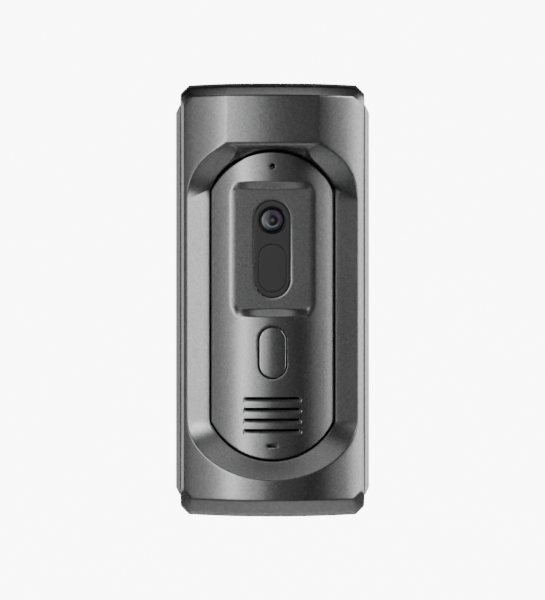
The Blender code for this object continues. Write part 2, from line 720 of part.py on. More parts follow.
def make_rear_housing():
    """Tub with sloping side rails, a pocket for the bracket, posts and the screw tower."""
    top = HOUSING_HALF_HEIGHT
    half = SHELL_HALF - 0.2
    quarter = [(half - CORNER, top), (half, top - CORNER), (half, 69.2), (RAIL_HALF, RAIL_END)]
    upper = [(-x, z) for x, z in reversed(quarter)] + quarter
    outline = upper + [(x, -z) for x, z in reversed(upper)]
    housing = solid("rear_housing", Form().prism(outline, HOUSING_BACK, RAIL_DEPTH), "gunmetal")
    reach = HEIGHT / 2 + 5
    cut(housing, Form().box((-SHELL_HALF - GAP, SHELL_HALF + GAP), (-reach, reach), (HOUSING_FRONT, 40)))
    cut(housing, Form().prism(cut_corner(half - 2.4, 2.4 - top, top - 2.4, CORNER), FLOOR_FRONT, 20))
    cut(housing, Form().box((-POCKET[0], POCKET[0]), (-POCKET[1], POCKET[1]), (-1, FLOOR_BACK)))
    over = 0.5
    for sign in (1, -1):
        corner = (
            (sign * (SHELL_HALF - over), RAIL_DEPTH + over),
            (sign * (RAIL_HALF + over), SHELL_HALF + RAIL_DEPTH - RAIL_HALF - over),
            (sign * (RAIL_HALF + over), RAIL_DEPTH + over),
        )
        wedge = Form()
        low, high = (wedge.add([(x, d, z) for x, d in corner]) for z in (-reach, reach))
        wedge.band(low, high)
        wedge.mesh.faces.new(low)
        wedge.mesh.faces.new(high)
        cut(housing, wedge)
    posts = Form()
    for x, z in SHELL_SCREWS:
        posts.disc(x, z, 4.2, FLOOR_FRONT - 1.5, HOUSING_FRONT - 0.2)
    for x, z in BOARD_SCREWS:
        posts.disc(x, z, 3.0, FLOOR_BACK + 0.6, BOARD_BACK - GAP)
    posts.box((-10.5, 10.5), (-73.0, -58.0), (FLOOR_FRONT - 1.5, 12.0))
    return join(housing, posts)


def make_housing():
    """The rear housing's holes, its gasket, its screws and the cable grommet."""
    housing = make_rear_housing()
    wide, narrow, slots = Form(), Form(), Form()
    for x, z in SHELL_SCREWS:
        wide.disc(x, z, 3.1, -1, 7.8)
        narrow.disc(x, z, 1.7, 7.0, 15)
    for x, z in BOARD_SCREWS:
        narrow.disc(x, z, 1.4, 5.0, 9.0, 16)
    wide.rod(0, 5.5, 3.0, -76, -72.2, 20)
    narrow.rod(0, 5.5, 1.6, -73, -70, 16)
    slots.box((-7.6, 7.6), (-70.6, -59.9), (-1, 9.6))
    slots.disc(0, GROMMET_Z, 7.3, 0, 6, 24)
    slots.disc(*TAMPER, 1.6, 0, 6, 16)
    for x in (HOOK_X, -HOOK_X):
        slots.box((x - 3.6, x + 3.6), (49.5, 56.4), (0, 6))
    for cutter in (wide, narrow, slots):
        cut(housing, cutter)

    top = HOUSING_HALF_HEIGHT
    half = SHELL_HALF - 0.2
    outer = cut_corner(half - 0.7, 0.7 - top, top - 0.7, CORNER)
    inner = cut_corner(half - 2.0, 2.0 - top, top - 2.0, CORNER)
    gasket = Form().ring(outer, inner, HOUSING_FRONT + GAP, SHELL_BACK - GAP)
    solid("housing_gasket", gasket, "rubber")
    make_screws("housing_screw", SHELL_SCREWS, 7.5, 22.5, 1.4, 2.8, 2.2)
    skin = [(0.0, 3.8), (3.0, 3.8), (4.5, 5.4), (8.6, 5.4), (8.6, 4.5)]
    neck = [(7.0, 4.5), (7.0, 2.6), (4.2, 2.6), (3.0, 3.1), (0.0, 3.1)]
    solid("cable_grommet", Form().turned(0, GROMMET_Z, skin + neck, 24), "rubber")


def make_bracket():
    half, tall, thick = BRACKET
    outline = cut_corner(half, -tall, tall, 4.0)
    plate = solid("wall_bracket", Form().prism(outline, 0.0, thick), "zinc_plate")
    added, lips, holes = Form(), Form(), Form()
    for x in (HOOK_X, -HOOK_X):
        added.box((x - 3.0, x + 3.0), (54.0, 55.8), (0.5, 6.0))
        lips.box((x - 3.0, x + 3.0), (54.6, 58.4), (4.7, 5.9))
    added.box((-7.0, 7.0), (-70.1, -58.0), (0.0, thick))
    lips.box((-7.0, 7.0), (-70.1, -68.4), (0.6, 9.0))
    for z in (50.0, -50.0):
        holes.disc(0, z, 2.2, -1, 3, 20)
    for x in (20.0, -20.0):
        holes.prism(stadium(x, 0, 2.2, 4.2, 20), -1, 3)
    holes.prism(cut_corner(13.0, -44.0, -16.0, 2.0), -1, 3)
    holes.disc(*TAMPER, 2.0, -1, 3, 16)
    holes.rod(0, 5.5, 1.5, -72, -67, 16)
    join(plate, added)
    join(plate, lips)
    cut(plate, holes)

    screw = Form().rod(0, 5.5, 2.6, -74.3, -72.5, 20)
    made = solid("security_screw", screw, "steel")
    join(made, Form().rod(0, 5.5, 1.2, -72.9, -66.5, 16))
    cut(made, Form().rod(0, 5.5, 1.2, -75.0, -73.3, 6))


def make_tamper():
    x, z = TAMPER
    body = Form().box((x - 3.0, x + 3.0), (z - 3.0, z + 3.0), (4.8, BOARD_BACK - GAP))
    well = Form().disc(x, z, 1.5, 4.0, 7.3, 16)
    cut(solid("tamper_switch", body, "dark_plastic"), well)
    feeler = Form().turned(
        x, z, [(0.0, 6.8), (1.1, 6.8), (1.1, 0.9), (0.9, 0.4), (0.5, 0.15), (0.0, 0.15)], 16
    )
    solid("tamper_plunger", feeler, "dark_plastic", (x, 3.0, z))


def main():
    for old in list(bpy.data.objects):
        bpy.data.objects.remove(old)
    make_front_shell()
    make_front_panel()
    make_panel_fittings()
    make_camera()
    make_button()
    make_sound()
    make_boards()
    make_housing()
    make_bracket()
    make_tamper()


main()
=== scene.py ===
"""Looks of a slim die-cast video doorbell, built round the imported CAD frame.

Sizes are millimetres inside the classes; every mesh is turned into metres once, when it is
made. A place is (x, depth, z): depth is the distance out from the wall, so y = -depth.
"""

import json
import logging
import math
from collections.abc import Callable, Sequence
from dataclasses import dataclass, field
from enum import Enum

import bmesh
import bpy
import numpy as np
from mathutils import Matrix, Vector
from mathutils.geometry import delaunay_2d_cdt

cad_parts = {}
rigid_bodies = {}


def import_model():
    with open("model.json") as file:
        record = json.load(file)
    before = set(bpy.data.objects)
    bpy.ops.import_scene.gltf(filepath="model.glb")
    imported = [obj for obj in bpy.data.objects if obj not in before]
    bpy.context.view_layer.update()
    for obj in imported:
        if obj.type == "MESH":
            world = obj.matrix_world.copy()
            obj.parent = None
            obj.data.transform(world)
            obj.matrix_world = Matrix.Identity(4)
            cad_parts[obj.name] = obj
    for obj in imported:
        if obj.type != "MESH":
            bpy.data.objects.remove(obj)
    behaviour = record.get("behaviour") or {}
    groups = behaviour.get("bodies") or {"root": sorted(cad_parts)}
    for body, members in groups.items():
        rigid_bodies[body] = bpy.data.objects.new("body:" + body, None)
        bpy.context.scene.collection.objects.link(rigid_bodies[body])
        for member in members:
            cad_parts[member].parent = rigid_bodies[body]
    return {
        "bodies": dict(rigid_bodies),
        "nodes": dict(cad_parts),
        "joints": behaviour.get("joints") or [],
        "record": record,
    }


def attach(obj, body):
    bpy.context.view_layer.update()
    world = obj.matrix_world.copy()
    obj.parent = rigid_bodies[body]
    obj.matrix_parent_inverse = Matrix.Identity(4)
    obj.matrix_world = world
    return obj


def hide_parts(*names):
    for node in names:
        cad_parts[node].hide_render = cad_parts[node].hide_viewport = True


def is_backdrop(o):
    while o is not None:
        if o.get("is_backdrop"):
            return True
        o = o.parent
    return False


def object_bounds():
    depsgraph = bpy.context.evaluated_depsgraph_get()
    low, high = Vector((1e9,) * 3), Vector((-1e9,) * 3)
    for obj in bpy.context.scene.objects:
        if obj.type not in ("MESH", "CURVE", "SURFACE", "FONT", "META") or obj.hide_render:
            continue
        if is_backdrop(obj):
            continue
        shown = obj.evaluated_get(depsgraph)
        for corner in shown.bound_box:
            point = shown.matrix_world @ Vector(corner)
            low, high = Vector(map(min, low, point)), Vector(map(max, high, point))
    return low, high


LOG = logging.getLogger("doorbell")
MM = 0.001
WELD = 2e-6  # metres within which points of a new mesh become one
CAD_WELD = 1e-6  # the same for a copy of a CAD node, whose triangles are loose
SLIVER = 1e-7  # metres below which an edge has no length
CORNER_SHARE = 0.45  # most of a straight run that the rounding of its corner may take
CORNER_STEPS = (0.0, 0.2, 0.4, 0.6, 0.8, 1.0)
Array = np.ndarray
DepthOf = Callable[[Array, Array], Array]


# --------------------------------------------------------------------------- shader maths


class Graph:
    """One material's node tree, with short ways to add nodes."""

    def __init__(self, name: str) -> None:
        """Starts a material with a Principled shader wired to its output."""
        self.material = bpy.data.materials.new(name)
        self.material.use_nodes = True
        self.tree = self.material.node_tree
        self.shader = self.tree.nodes["Principled BSDF"]

    def node(self, kind: str, settings: dict | None = None, sockets: dict | None = None) -> "bpy.types.Node":
        """Adds a node.

        Args:
            kind: Blender's node type name.
            settings: attributes set before the sockets.
            sockets: socket name or index to a number, colour, vector or Wire.

        Returns:
            The new node.
        """
        made = self.tree.nodes.new(kind)
        for name, value in (settings or {}).items():
            setattr(made, name, value)
        for key, value in (sockets or {}).items():
            self.feed(made.inputs[key], value)
        return made

    def feed(self, socket: "bpy.types.NodeSocket", value: object) -> None:
        """Links a Wire into a socket, or sets the socket's own value.

        Args:
            socket: the input to fill.
            value: a Wire, or a number, colour or vector.
        """
        if isinstance(value, Wire):
            self.tree.links.new(value.socket, socket)
        else:
            socket.default_value = value

    def wire(self, made: "bpy.types.Node", output: str | int = 0) -> "Wire":
        """The output of a node, as something that takes part in expressions."""
        return Wire(self, made.outputs[output])

    def place(self) -> "Wire":
        """Object coordinates, in metres."""
        return self.wire(self.node("ShaderNodeTexCoord"), "Object")

    def noise(self, scale: float, detail: float = 2.0, at: "Wire | None" = None) -> "Wire":
        """Noise between 0 and 1 at a scale per metre."""
        sockets = {"Vector": at or self.place(), "Scale": scale, "Detail": detail}
        return self.wire(self.node("ShaderNodeTexNoise", None, sockets), 0)

    def cells(self, scale: float, feature: str = "F1") -> "Wire":
        """Distance to the nearest of scattered points, at a scale per metre."""
        sockets = {"Vector": self.place(), "Scale": scale}
        return self.wire(self.node("ShaderNodeTexVoronoi", {"feature": feature}, sockets), "Distance")

    def maths(self, operation: str, first: object, second: object = 0.0) -> "Wire":
        """One Math node."""
        return self.wire(self.node("ShaderNodeMath", {"operation": operation}, {0: first, 1: second}))

    def blend(self, share: object, first: object, second: object) -> "Wire":
        """Mixes two colours by a share.

        Args:
            share: 0 gives the first colour and 1 the second.
            first: red, green and blue, or a Wire.
            second: red, green and blue, or a Wire.

        Returns:
            The mixed colour.
        """
        mix = self.node("ShaderNodeMix", {"data_type": "RGBA"}, {"Factor": share})
        for socket, colour in ((mix.inputs[6], first), (mix.inputs[7], second)):
            self.feed(socket, colour if isinstance(colour, Wire) else (*colour, 1.0))
        return Wire(self, mix.outputs[2])

    def band(self, value: "Wire", low: float, high: float) -> "Wire":
        """0 below low, 1 above high, smooth between.

        Args:
            value: what is measured.
            low: where the rise starts.
            high: where it ends.

        Returns:
            The share between 0 and 1.
        """
        settings = {"interpolation_type": "SMOOTHSTEP"}
        sockets = {"Value": value, "From Min": low, "From Max": high}
        return self.wire(self.node("ShaderNodeMapRange", settings, sockets))

    def axis(self, letter: str) -> "Wire":
        """One coordinate of the place on the piece, in metres."""
        return self.wire(self.node("ShaderNodeSeparateXYZ", None, {0: self.place()}), letter)

    def bump(self, height: "Wire", strength: float, distance: float) -> None:
        """Feeds a bump of this height to the shader's normal."""
        sockets = {"Height": height, "Strength": strength, "Distance": distance}
        self.feed(self.shader.inputs["Normal"], self.wire(self.node("ShaderNodeBump", None, sockets)))


class Wire:
    """A node's output that can be added, multiplied and so on."""

    def __init__(self, graph: Graph, socket: "bpy.types.NodeSocket") -> None:
        """Wraps one output socket."""
        self.graph = graph
        self.socket = socket

    def __add__(self, other: object) -> "Wire":
        """Sum."""
        return self.graph.maths("ADD", self, other)

    __radd__ = __add__

    def __sub__(self, other: object) -> "Wire":
        """Difference."""
        return self.graph.maths("SUBTRACT", self, other)

    def __rsub__(self, other: object) -> "Wire":
        """Difference from a number."""
        return self.graph.maths("SUBTRACT", other, self)

    def __mul__(self, other: object) -> "Wire":
        """Product."""
        return self.graph.maths("MULTIPLY", self, other)

    __rmul__ = __mul__


# --------------------------------------------------------------------------- finishes


@dataclass(frozen=True)
class Finish:
    """A plain moulded or cast finish with fine grain; the others build on it."""

    name: str
    colour: tuple[float, float, float]
    roughness: float
    metallic: float = 0.0
    grain: float = 2500.0
    grain_depth: float = 0.00002
    tone_spread: float = 0.1
    rough_spread: float = 0.06

    def make(self) -> bpy.types.Material:
        """Makes the material once; later calls share it.

        Returns:
            The finished material.
        """
        found = bpy.data.materials.get(self.name)
        if found:
            return found
        graph = Graph(self.name)
        graph.shader.inputs["Metallic"].default_value = self.metallic
        graph.shader.inputs["Roughness"].default_value = self.roughness
        self.dress(graph)
        return graph.material

    def tones(self, graph: Graph, share: Wire) -> Wire:
        """Base colour that runs from a darker to a lighter tone.

        Args:
            graph: the material being built.
            share: 0 gives the darker tone and 1 the lighter.

        Returns:
            The colour.
        """
        dark = [c * (1 - self.tone_spread) for c in self.colour]
        light = [c * (1 + self.tone_spread) for c in self.colour]
        return graph.blend(share, dark, light)

    def dress(self, graph: Graph) -> None:
        """Fine grain in tone, roughness and relief.

        Args:
            graph: the material being built.
        """
        fine = graph.noise(self.grain, 3.0)
        broad = graph.noise(60.0, 2.0)
        graph.feed(graph.shader.inputs["Base Color"], self.tones(graph, fine * 0.6 + broad * 0.4))
        rough = self.roughness - self.rough_spread * 0.5 + self.rough_spread * broad
        graph.feed(graph.shader.inputs["Roughness"], rough)
        graph.bump(fine, 0.4, self.grain_depth)


@dataclass(frozen=True)
class CastPaint(Finish):
    """Metallic paint on a casting: flakes that sparkle in a smooth coat."""

    flake: float = 2200.0

    def dress(self, graph: Graph) -> None:
        """Flakes as fine cells, a soft orange peel and slow changes of gloss.

        Args:
            graph: the material being built.
        """
        flakes = graph.noise(self.flake, 1.0)
        second = graph.noise(self.flake * 0.45, 2.0)
        peel = graph.noise(900.0, 2.0)
        broad = graph.noise(35.0, 2.0)
        share = graph.band(flakes * 0.65 + second * 0.35, 0.3, 0.7)
        graph.feed(graph.shader.inputs["Base Color"], self.tones(graph, share))
        rough = self.roughness + self.rough_spread * (broad - 0.5) + 0.04 * (flakes - 0.5)
        graph.feed(graph.shader.inputs["Roughness"], rough)
        graph.bump(flakes * 0.3 + peel * 0.7, 0.08, self.grain_depth)


@dataclass(frozen=True)
class PiercedPaint(CastPaint):
    """The same paint on the panel, with painted shade darkening it down inside its narrow openings."""

    crest: float = 0.031
    radius: float = 0.042
    shallow: float = 0.0006
    deep: float = 0.0014
    field_depth: float = 0.0026
    field_top: float = 0.042
    field_bottom: float = -0.007
    field_edge: float = 0.0002

    def tones(self, graph: Graph, share: Wire) -> Wire:
        """Paints shade that darkens by the distance below the round, crest - r + sqrt(r^2 - x^2), taken from
        the field's floor where the camera field is sunk.

        Args:
            graph: the material being built.
            share: 0 gives the darker tone and 1 the lighter.

        Returns:
            The colour.
        """
        x, z = graph.axis("X"), graph.axis("Z")
        level = graph.maths("SQRT", self.radius**2 - x * x) + (self.crest - self.radius)
        sunk = graph.band(z, self.field_bottom, self.field_bottom + self.field_edge)
        sunk = sunk * (1.0 - graph.band(z, self.field_top - self.field_edge, self.field_top))
        below = level + graph.axis("Y") - sunk * self.field_depth
        # painted shade: places lying deeper below the round blend towards a near-black tone
        dark = graph.band(below, self.shallow, self.deep)
        recess_shade_tone = graph.blend(share, (0.008, 0.008, 0.008), (0.014, 0.014, 0.014))
        return graph.blend(dark, super().tones(graph, share), recess_shade_tone)


@dataclass(frozen=True)
class SmokedWindow(Finish):
    """Dark translucent plastic with a fine spark-eroded matt face."""

    def dress(self, graph: Graph) -> None:
        """A very fine matt face with faint slow clouds.

        Args:
            graph: the material being built.
        """
        fine = graph.noise(6000.0, 2.0)
        clouds = graph.noise(120.0, 2.0)
        graph.feed(graph.shader.inputs["Base Color"], self.tones(graph, clouds))
        graph.feed(graph.shader.inputs["Roughness"], self.roughness + 0.08 * (fine - 0.5))
        graph.bump(fine, 0.25, self.grain_depth)


@dataclass(frozen=True)
class CoatedGlass(Finish):
    """Coated lens element, blue-grey, with painted highlights and a painted violet reflection in its colour.
    """

    centre_z: float = 0.0277
    radius: float = 0.0038

    def dress(self, graph: Graph) -> None:
        """Rings of tone out from the middle: a grey painted highlight at the core, black pupil, a pale
        painted highlight along the lower half of a ring round it, and blue-grey outer glass with a painted
        violet reflection towards the upper right.

        Args:
            graph: the material being built.
        """
        x = graph.axis("X") * (1.0 / self.radius)
        z = (graph.axis("Z") - self.centre_z) * (1.0 / self.radius)
        out = graph.maths("SQRT", x * x + z * z)
        # painted reflection: the outer glass turns violet towards the upper right
        violet_reflection_lean = x * 0.8 + z * 0.6
        outer = graph.blend(graph.band(violet_reflection_lean, 0.1, 0.75), (0.020, 0.026, 0.034), (0.085, 0.055, 0.105))
        rim = graph.blend(graph.band(out, 0.86, 1.0), outer, (0.006, 0.006, 0.008))
        # painted highlight: a pale half ring below the pupil
        ring = graph.band(out, 0.50, 0.56) * (1.0 - graph.band(out, 0.60, 0.74))
        lower_highlight = ring * graph.band(0.0 - z - 0.15 * x, -0.1, 0.5)
        iris = graph.blend(lower_highlight, rim, (0.16, 0.19, 0.23))
        pupil = graph.blend(graph.band(out, 0.44, 0.52), (0.003, 0.003, 0.004), iris)
        # painted highlight: a grey spot in the middle of the pupil
        core = graph.blend(graph.band(out, 0.08, 0.26), (0.10, 0.09, 0.09), pupil)
        speck = graph.noise(4000.0, 1.0)
        graph.feed(graph.shader.inputs["Base Color"], core)
        graph.feed(graph.shader.inputs["Roughness"], self.roughness + 0.04 * speck)
        graph.shader.inputs["Coat Roughness"].default_value = 0.06
        graph.shader.inputs["Coat Weight"].default_value = 0.25


@dataclass(frozen=True)
class CircuitBoard(Finish):
    """Solder mask with tracks under it and rows of tinned pads."""

    def dress(self, graph: Graph) -> None:
        """Tracks as a brick pattern, pads as bright cells.

        Args:
            graph: the material being built.
        """
        settings = {"offset": 0.5}
        sockets = {"Vector": graph.place(), "Scale": 180.0, "Mortar Size": 0.06}
        tracks = graph.wire(graph.node("ShaderNodeTexBrick", settings, sockets), 1)
        pads = graph.band(graph.cells(420.0), 0.12, 0.16)
        lighter = tuple(c * 1.8 for c in self.colour)
        mask = graph.blend(tracks, self.colour, lighter)
        graph.feed(graph.shader.inputs["Base Color"], graph.blend(pads, (0.6, 0.6, 0.58), mask))
        graph.feed(graph.shader.inputs["Metallic"], 1.0 - pads)
        graph.bump(tracks, 0.3, 0.00003)


@dataclass(frozen=True)
class PlatedSteel(Finish):
    """Plated metal with faint drawn lines and a spangle."""

    spangle: float = 350.0

    def dress(self, graph: Graph) -> None:
        """Spangle in tone, stretched noise for the drawn lines.

        Args:
            graph: the material being built.
        """
        settings = {"vector_type": "TEXTURE"}
        stretched = graph.wire(
            graph.node("ShaderNodeMapping", settings, {"Vector": graph.place(), "Scale": (1.0, 1.0, 12.0)})
        )
        lines = graph.noise(2600.0, 2.0, stretched)
        spangle = graph.cells(self.spangle)
        share = graph.band(spangle, 0.1, 0.8)
        graph.feed(graph.shader.inputs["Base Color"], self.tones(graph, share))
        rough = self.roughness + self.rough_spread * (lines - 0.5) + 0.08 * (share - 0.5)
        graph.feed(graph.shader.inputs["Roughness"], rough)
        graph.bump(lines, 0.2, self.grain_depth)


@dataclass(frozen=True)
class StageCloth(Finish):
    """The pale seamless floor and backdrop."""

    glow: float = 0.0
    glow_reach: float = 0.62

    def dress(self, graph: Graph) -> None:
        """Flat pale paper with the faintest mottle; the backdrop glows round its middle.

        Args:
            graph: the material being built.
        """
        mottle = graph.noise(3.0, 2.0)
        graph.feed(graph.shader.inputs["Base Color"], self.tones(graph, mottle))
        if self.glow:
            x, z = graph.axis("X"), graph.axis("Z")
            out = graph.maths("SQRT", x * x + z * z)
            share = graph.band(out, self.glow_reach * 0.75, self.glow_reach)
            light = graph.blend(share, (1.0, 1.0, 1.0), (0.0, 0.0, 0.0))
            graph.feed(graph.shader.inputs["Emission Color"], light)
            graph.shader.inputs["Emission Strength"].default_value = self.glow


class Slot(Enum):
    """The record's material slots and the finish that each takes."""

    GUNMETAL = "gunmetal"
    SMOKED = "smoked_window"
    BLACK_METAL = "black_metal"
    GLASS = "lens_glass"
    RUBBER = "rubber"
    DARK_PLASTIC = "dark_plastic"
    BOARD = "circuit_board"
    STEEL = "steel"
    ZINC = "zinc_plate"
    GREEN = "green_plastic"
    BLUE = "blue_plastic"
    LAMP = "lamp"
    CONE = "cone"
    MEMBRANE = "membrane"


GUNMETAL_COLOUR = (0.235, 0.235, 0.24)
PANEL_PAINT = PiercedPaint("panel_paint", GUNMETAL_COLOUR, 0.29, 1.0, tone_spread=0.17)

FINISHES: dict[Slot, Finish] = {
    Slot.GUNMETAL: CastPaint("gunmetal_paint", GUNMETAL_COLOUR, 0.29, 1.0, tone_spread=0.17),
    Slot.SMOKED: SmokedWindow("smoked_window_face", (0.025, 0.025, 0.026), 0.5),
    Slot.BLACK_METAL: Finish("black_anodised", (0.012, 0.012, 0.013), 0.3, 0.6),
    Slot.GLASS: CoatedGlass("coated_lens", (0.05, 0.05, 0.07), 0.22),
    Slot.RUBBER: Finish("seal_rubber", (0.018, 0.018, 0.018), 0.75, grain=1500.0),
    Slot.DARK_PLASTIC: Finish("dark_moulding", (0.03, 0.03, 0.032), 0.55),
    Slot.BOARD: CircuitBoard("green_board", (0.012, 0.09, 0.04), 0.4),
    Slot.STEEL: PlatedSteel("plated_screw", (0.55, 0.55, 0.56), 0.28, 1.0, spangle=900.0),
    Slot.ZINC: PlatedSteel("zinc_plating", (0.46, 0.47, 0.48), 0.42, 1.0, tone_spread=0.14),
    Slot.GREEN: Finish("green_moulding", (0.02, 0.2, 0.06), 0.5),
    Slot.BLUE: Finish("blue_moulding", (0.02, 0.08, 0.3), 0.5),
    Slot.LAMP: Finish("clear_epoxy", (0.25, 0.23, 0.25), 0.12, grain_depth=0.000002),
    Slot.CONE: Finish("pressed_cone", (0.04, 0.04, 0.045), 0.65),
    Slot.MEMBRANE: Finish("pale_film", (0.7, 0.7, 0.68), 0.7),
}


# --------------------------------------------------------------------------- mesh helpers


def make_piece(
    name: str,
    points: Array,
    faces: Sequence,
    slot: Slot,
    smooth_angle: float = 40.0,
    finish: Finish | None = None,
) -> bpy.types.Object:
    """Puts points and faces into a mesh object at the origin.

    Args:
        name: the piece's name.
        points: (n, 3) of x, depth, z in millimetres.
        faces: index tuples.
        slot: the record's material slot.
        smooth_angle: edges sharper than this, in degrees, stay crisp.
        finish: what the piece wears if not the slot's usual finish.

    Returns:
        The object, welded, with its faces turned outwards.
    """
    world = np.column_stack((points[:, 0], -points[:, 1], points[:, 2])) * MM
    mesh = bpy.data.meshes.new(name)
    mesh.from_pydata(world.tolist(), [], [tuple(map(int, f)) for f in faces])
    shape = bmesh.new()
    shape.from_mesh(mesh)
    bmesh.ops.remove_doubles(shape, verts=shape.verts, dist=WELD)
    bmesh.ops.dissolve_degenerate(shape, edges=shape.edges, dist=SLIVER)
    bmesh.ops.recalc_face_normals(shape, faces=shape.faces)
    shape.to_mesh(mesh)
    shape.free()
    mesh.shade_smooth()
    mesh.set_sharp_from_angle(angle=math.radians(smooth_angle))
    mesh.materials.append((finish or FINISHES[slot]).make())
    made = bpy.data.objects.new(name, mesh)
    bpy.context.scene.collection.objects.link(made)
    return made


def tube_faces(rows: int, columns: int, close_rows: bool, start: int = 0) -> Array:
    """Quads of a grid whose columns wrap round, and whose rows may too.

    Args:
        rows: points along the grid.
        columns: points round it.
        close_rows: True where the last row joins the first.
        start: index of the grid's first point.

    Returns:
        (n, 4) point indices.
    """
    last = rows if close_rows else rows - 1
    i, j = np.meshgrid(np.arange(last), np.arange(columns), indexing="ij")
    nexts = (j + 1) % columns
    above = (i + 1) % rows
    quads = np.stack((i * columns + j, i * columns + nexts, above * columns + nexts, above * columns + j), -1)
    return quads.reshape(-1, 4) + start


def turned(
    name: str,
    centre_z: float,
    profile: Sequence[tuple[float, float]],
    slot: Slot,
    sides: int = 96,
    closed: bool = False,
) -> bpy.types.Object:
    """A body turned about the depth axis: radius r and depth d carried round angle a give
    x = r cos a, z = centre + r sin a.

    Args:
        name: the piece's name.
        centre_z: height of the axis.
        profile: (radius, depth) points; the last joins the first when closed.
        slot: the finish.
        sides: points round.
        closed: True for a ring, False for a body with its poles on the axis.

    Returns:
        The object.
    """
    line = np.array(profile, float)
    angle = np.linspace(0, 2 * math.pi, sides, endpoint=False)
    radius, depth = line[:, :1], line[:, 1:]
    points = np.stack(
        (radius * np.cos(angle), depth + 0 * angle, centre_z + radius * np.sin(angle)), -1
    ).reshape(-1, 3)
    faces = [tuple(q) for q in tube_faces(len(line), sides, closed)]
    if not closed:
        faces.append(tuple(range(sides)))
        faces.append(tuple(range((len(line) - 1) * sides, len(line) * sides)))
    return make_piece(name, points, faces, slot)


class Outline:
    """A closed outline in x and z with a signed distance."""

    def loop(self, grow: float, count: int) -> Array:
        """Points along the outline grown by a distance."""
        raise NotImplementedError

    def away(self, x: Array, z: Array) -> Array:
        """Signed distance, negative inside."""
        raise NotImplementedError


@dataclass(frozen=True)
class Stadium(Outline):
    """A slot shape: a straight run with round ends, along its longer side."""

    half_x: float
    half_z: float
    centre_z: float
    centre_x: float = 0.0

    def loop(self, grow: float, count: int) -> Array:
        """Two half circles joined by straight runs, spaced evenly by length.

        Args:
            grow: how far outside the outline the points lie.
            count: how many points.

        Returns:
            (count, 2) of x and z.
        """
        radius = min(self.half_x, self.half_z)
        run = abs(self.half_z - self.half_x)
        grown = radius + grow
        along = np.linspace(0, 4 * run + 2 * math.pi * grown, count, endpoint=False)
        arc = math.pi * grown
        u = np.empty(count)
        v = np.empty(count)
        parts = np.searchsorted([arc, arc + 2 * run, 2 * arc + 2 * run], along, side="right")
        first, side, second = parts == 0, parts == 1, parts == 2
        last = parts == 3
        a = along / grown
        u[first], v[first] = grown * np.cos(a[first]), run + grown * np.sin(a[first])
        u[side], v[side] = -grown, run - (along[side] - arc)
        b = math.pi + (along - arc - 2 * run) / grown
        u[second], v[second] = grown * np.cos(b[second]), -run + grown * np.sin(b[second])
        u[last], v[last] = grown, -run + (along[last] - 2 * arc - 2 * run)
        if self.half_x > self.half_z:
            u, v = v, -u
        return np.column_stack((u + self.centre_x, v + self.centre_z))

    def away(self, x: Array, z: Array) -> Array:
        """Distance to the spine less the radius.

        Args:
            x: places across.
            z: heights.

        Returns:
            The signed distance, negative inside.
        """
        radius = min(self.half_x, self.half_z)
        u = np.maximum(np.abs(x - self.centre_x) - (self.half_x - radius), 0)
        v = np.maximum(np.abs(z - self.centre_z) - (self.half_z - radius), 0)
        return np.hypot(u, v) - radius


@dataclass(frozen=True)
class Pill(Outline):
    """The panel's outline: straight sides closed by wide arcs."""

    half: float = 21.4
    radius: float = 24.0
    arc_top: float = 27.3
    arc_bottom: float = -31.3

    def corner(self, grow: float) -> float:
        """Angle from the arc's top to where it meets the straight side."""
        return math.asin((self.half + grow) / (self.radius + grow))

    def loop(self, grow: float, count: int) -> Array:
        """Arc, side, arc, side, spaced evenly by length.

        Args:
            grow: how far outside the outline the points lie.
            count: how many points.

        Returns:
            (count, 2) of x and z.
        """
        half, radius, corner = self.half + grow, self.radius + grow, self.corner(grow)
        arc = 2 * corner * radius
        rise = radius * math.cos(corner)
        side = self.arc_top - self.arc_bottom + 2 * rise
        along = np.linspace(0, 2 * (arc + side), count, endpoint=False)
        x, z = np.empty(count), np.empty(count)
        parts = np.searchsorted([arc, arc + side, 2 * arc + side], along, side="right")
        a = corner - along / radius
        top = parts == 0
        x[top], z[top] = radius * np.sin(a[top]), self.arc_top + radius * np.cos(a[top])
        left = parts == 1
        x[left], z[left] = -half, self.arc_top + rise - (along[left] - arc)
        low = parts == 2
        b = -corner + (along - arc - side) / radius
        x[low], z[low] = radius * np.sin(b[low]), self.arc_bottom - radius * np.cos(b[low])
        right = parts == 3
        x[right], z[right] = half, self.arc_bottom - rise + (along[right] - 2 * arc - side)
        return np.column_stack((x, z))

    def away(self, x: Array, z: Array) -> Array:
        """Largest of the distances to the sides and to the end arcs.

        Args:
            x: places across.
            z: heights.

        Returns:
            The signed distance, negative inside.
        """
        top = np.where(z > self.arc_top, np.hypot(x, z - self.arc_top) - self.radius, -np.inf)
        low = np.where(z < self.arc_bottom, np.hypot(x, z - self.arc_bottom) - self.radius, -np.inf)
        return np.maximum(np.abs(x) - self.half, np.maximum(top, low))


def flat_at(depth: float) -> DepthOf:
    """A face or back that has the same depth all over."""
    return lambda x, z: depth + 0 * x


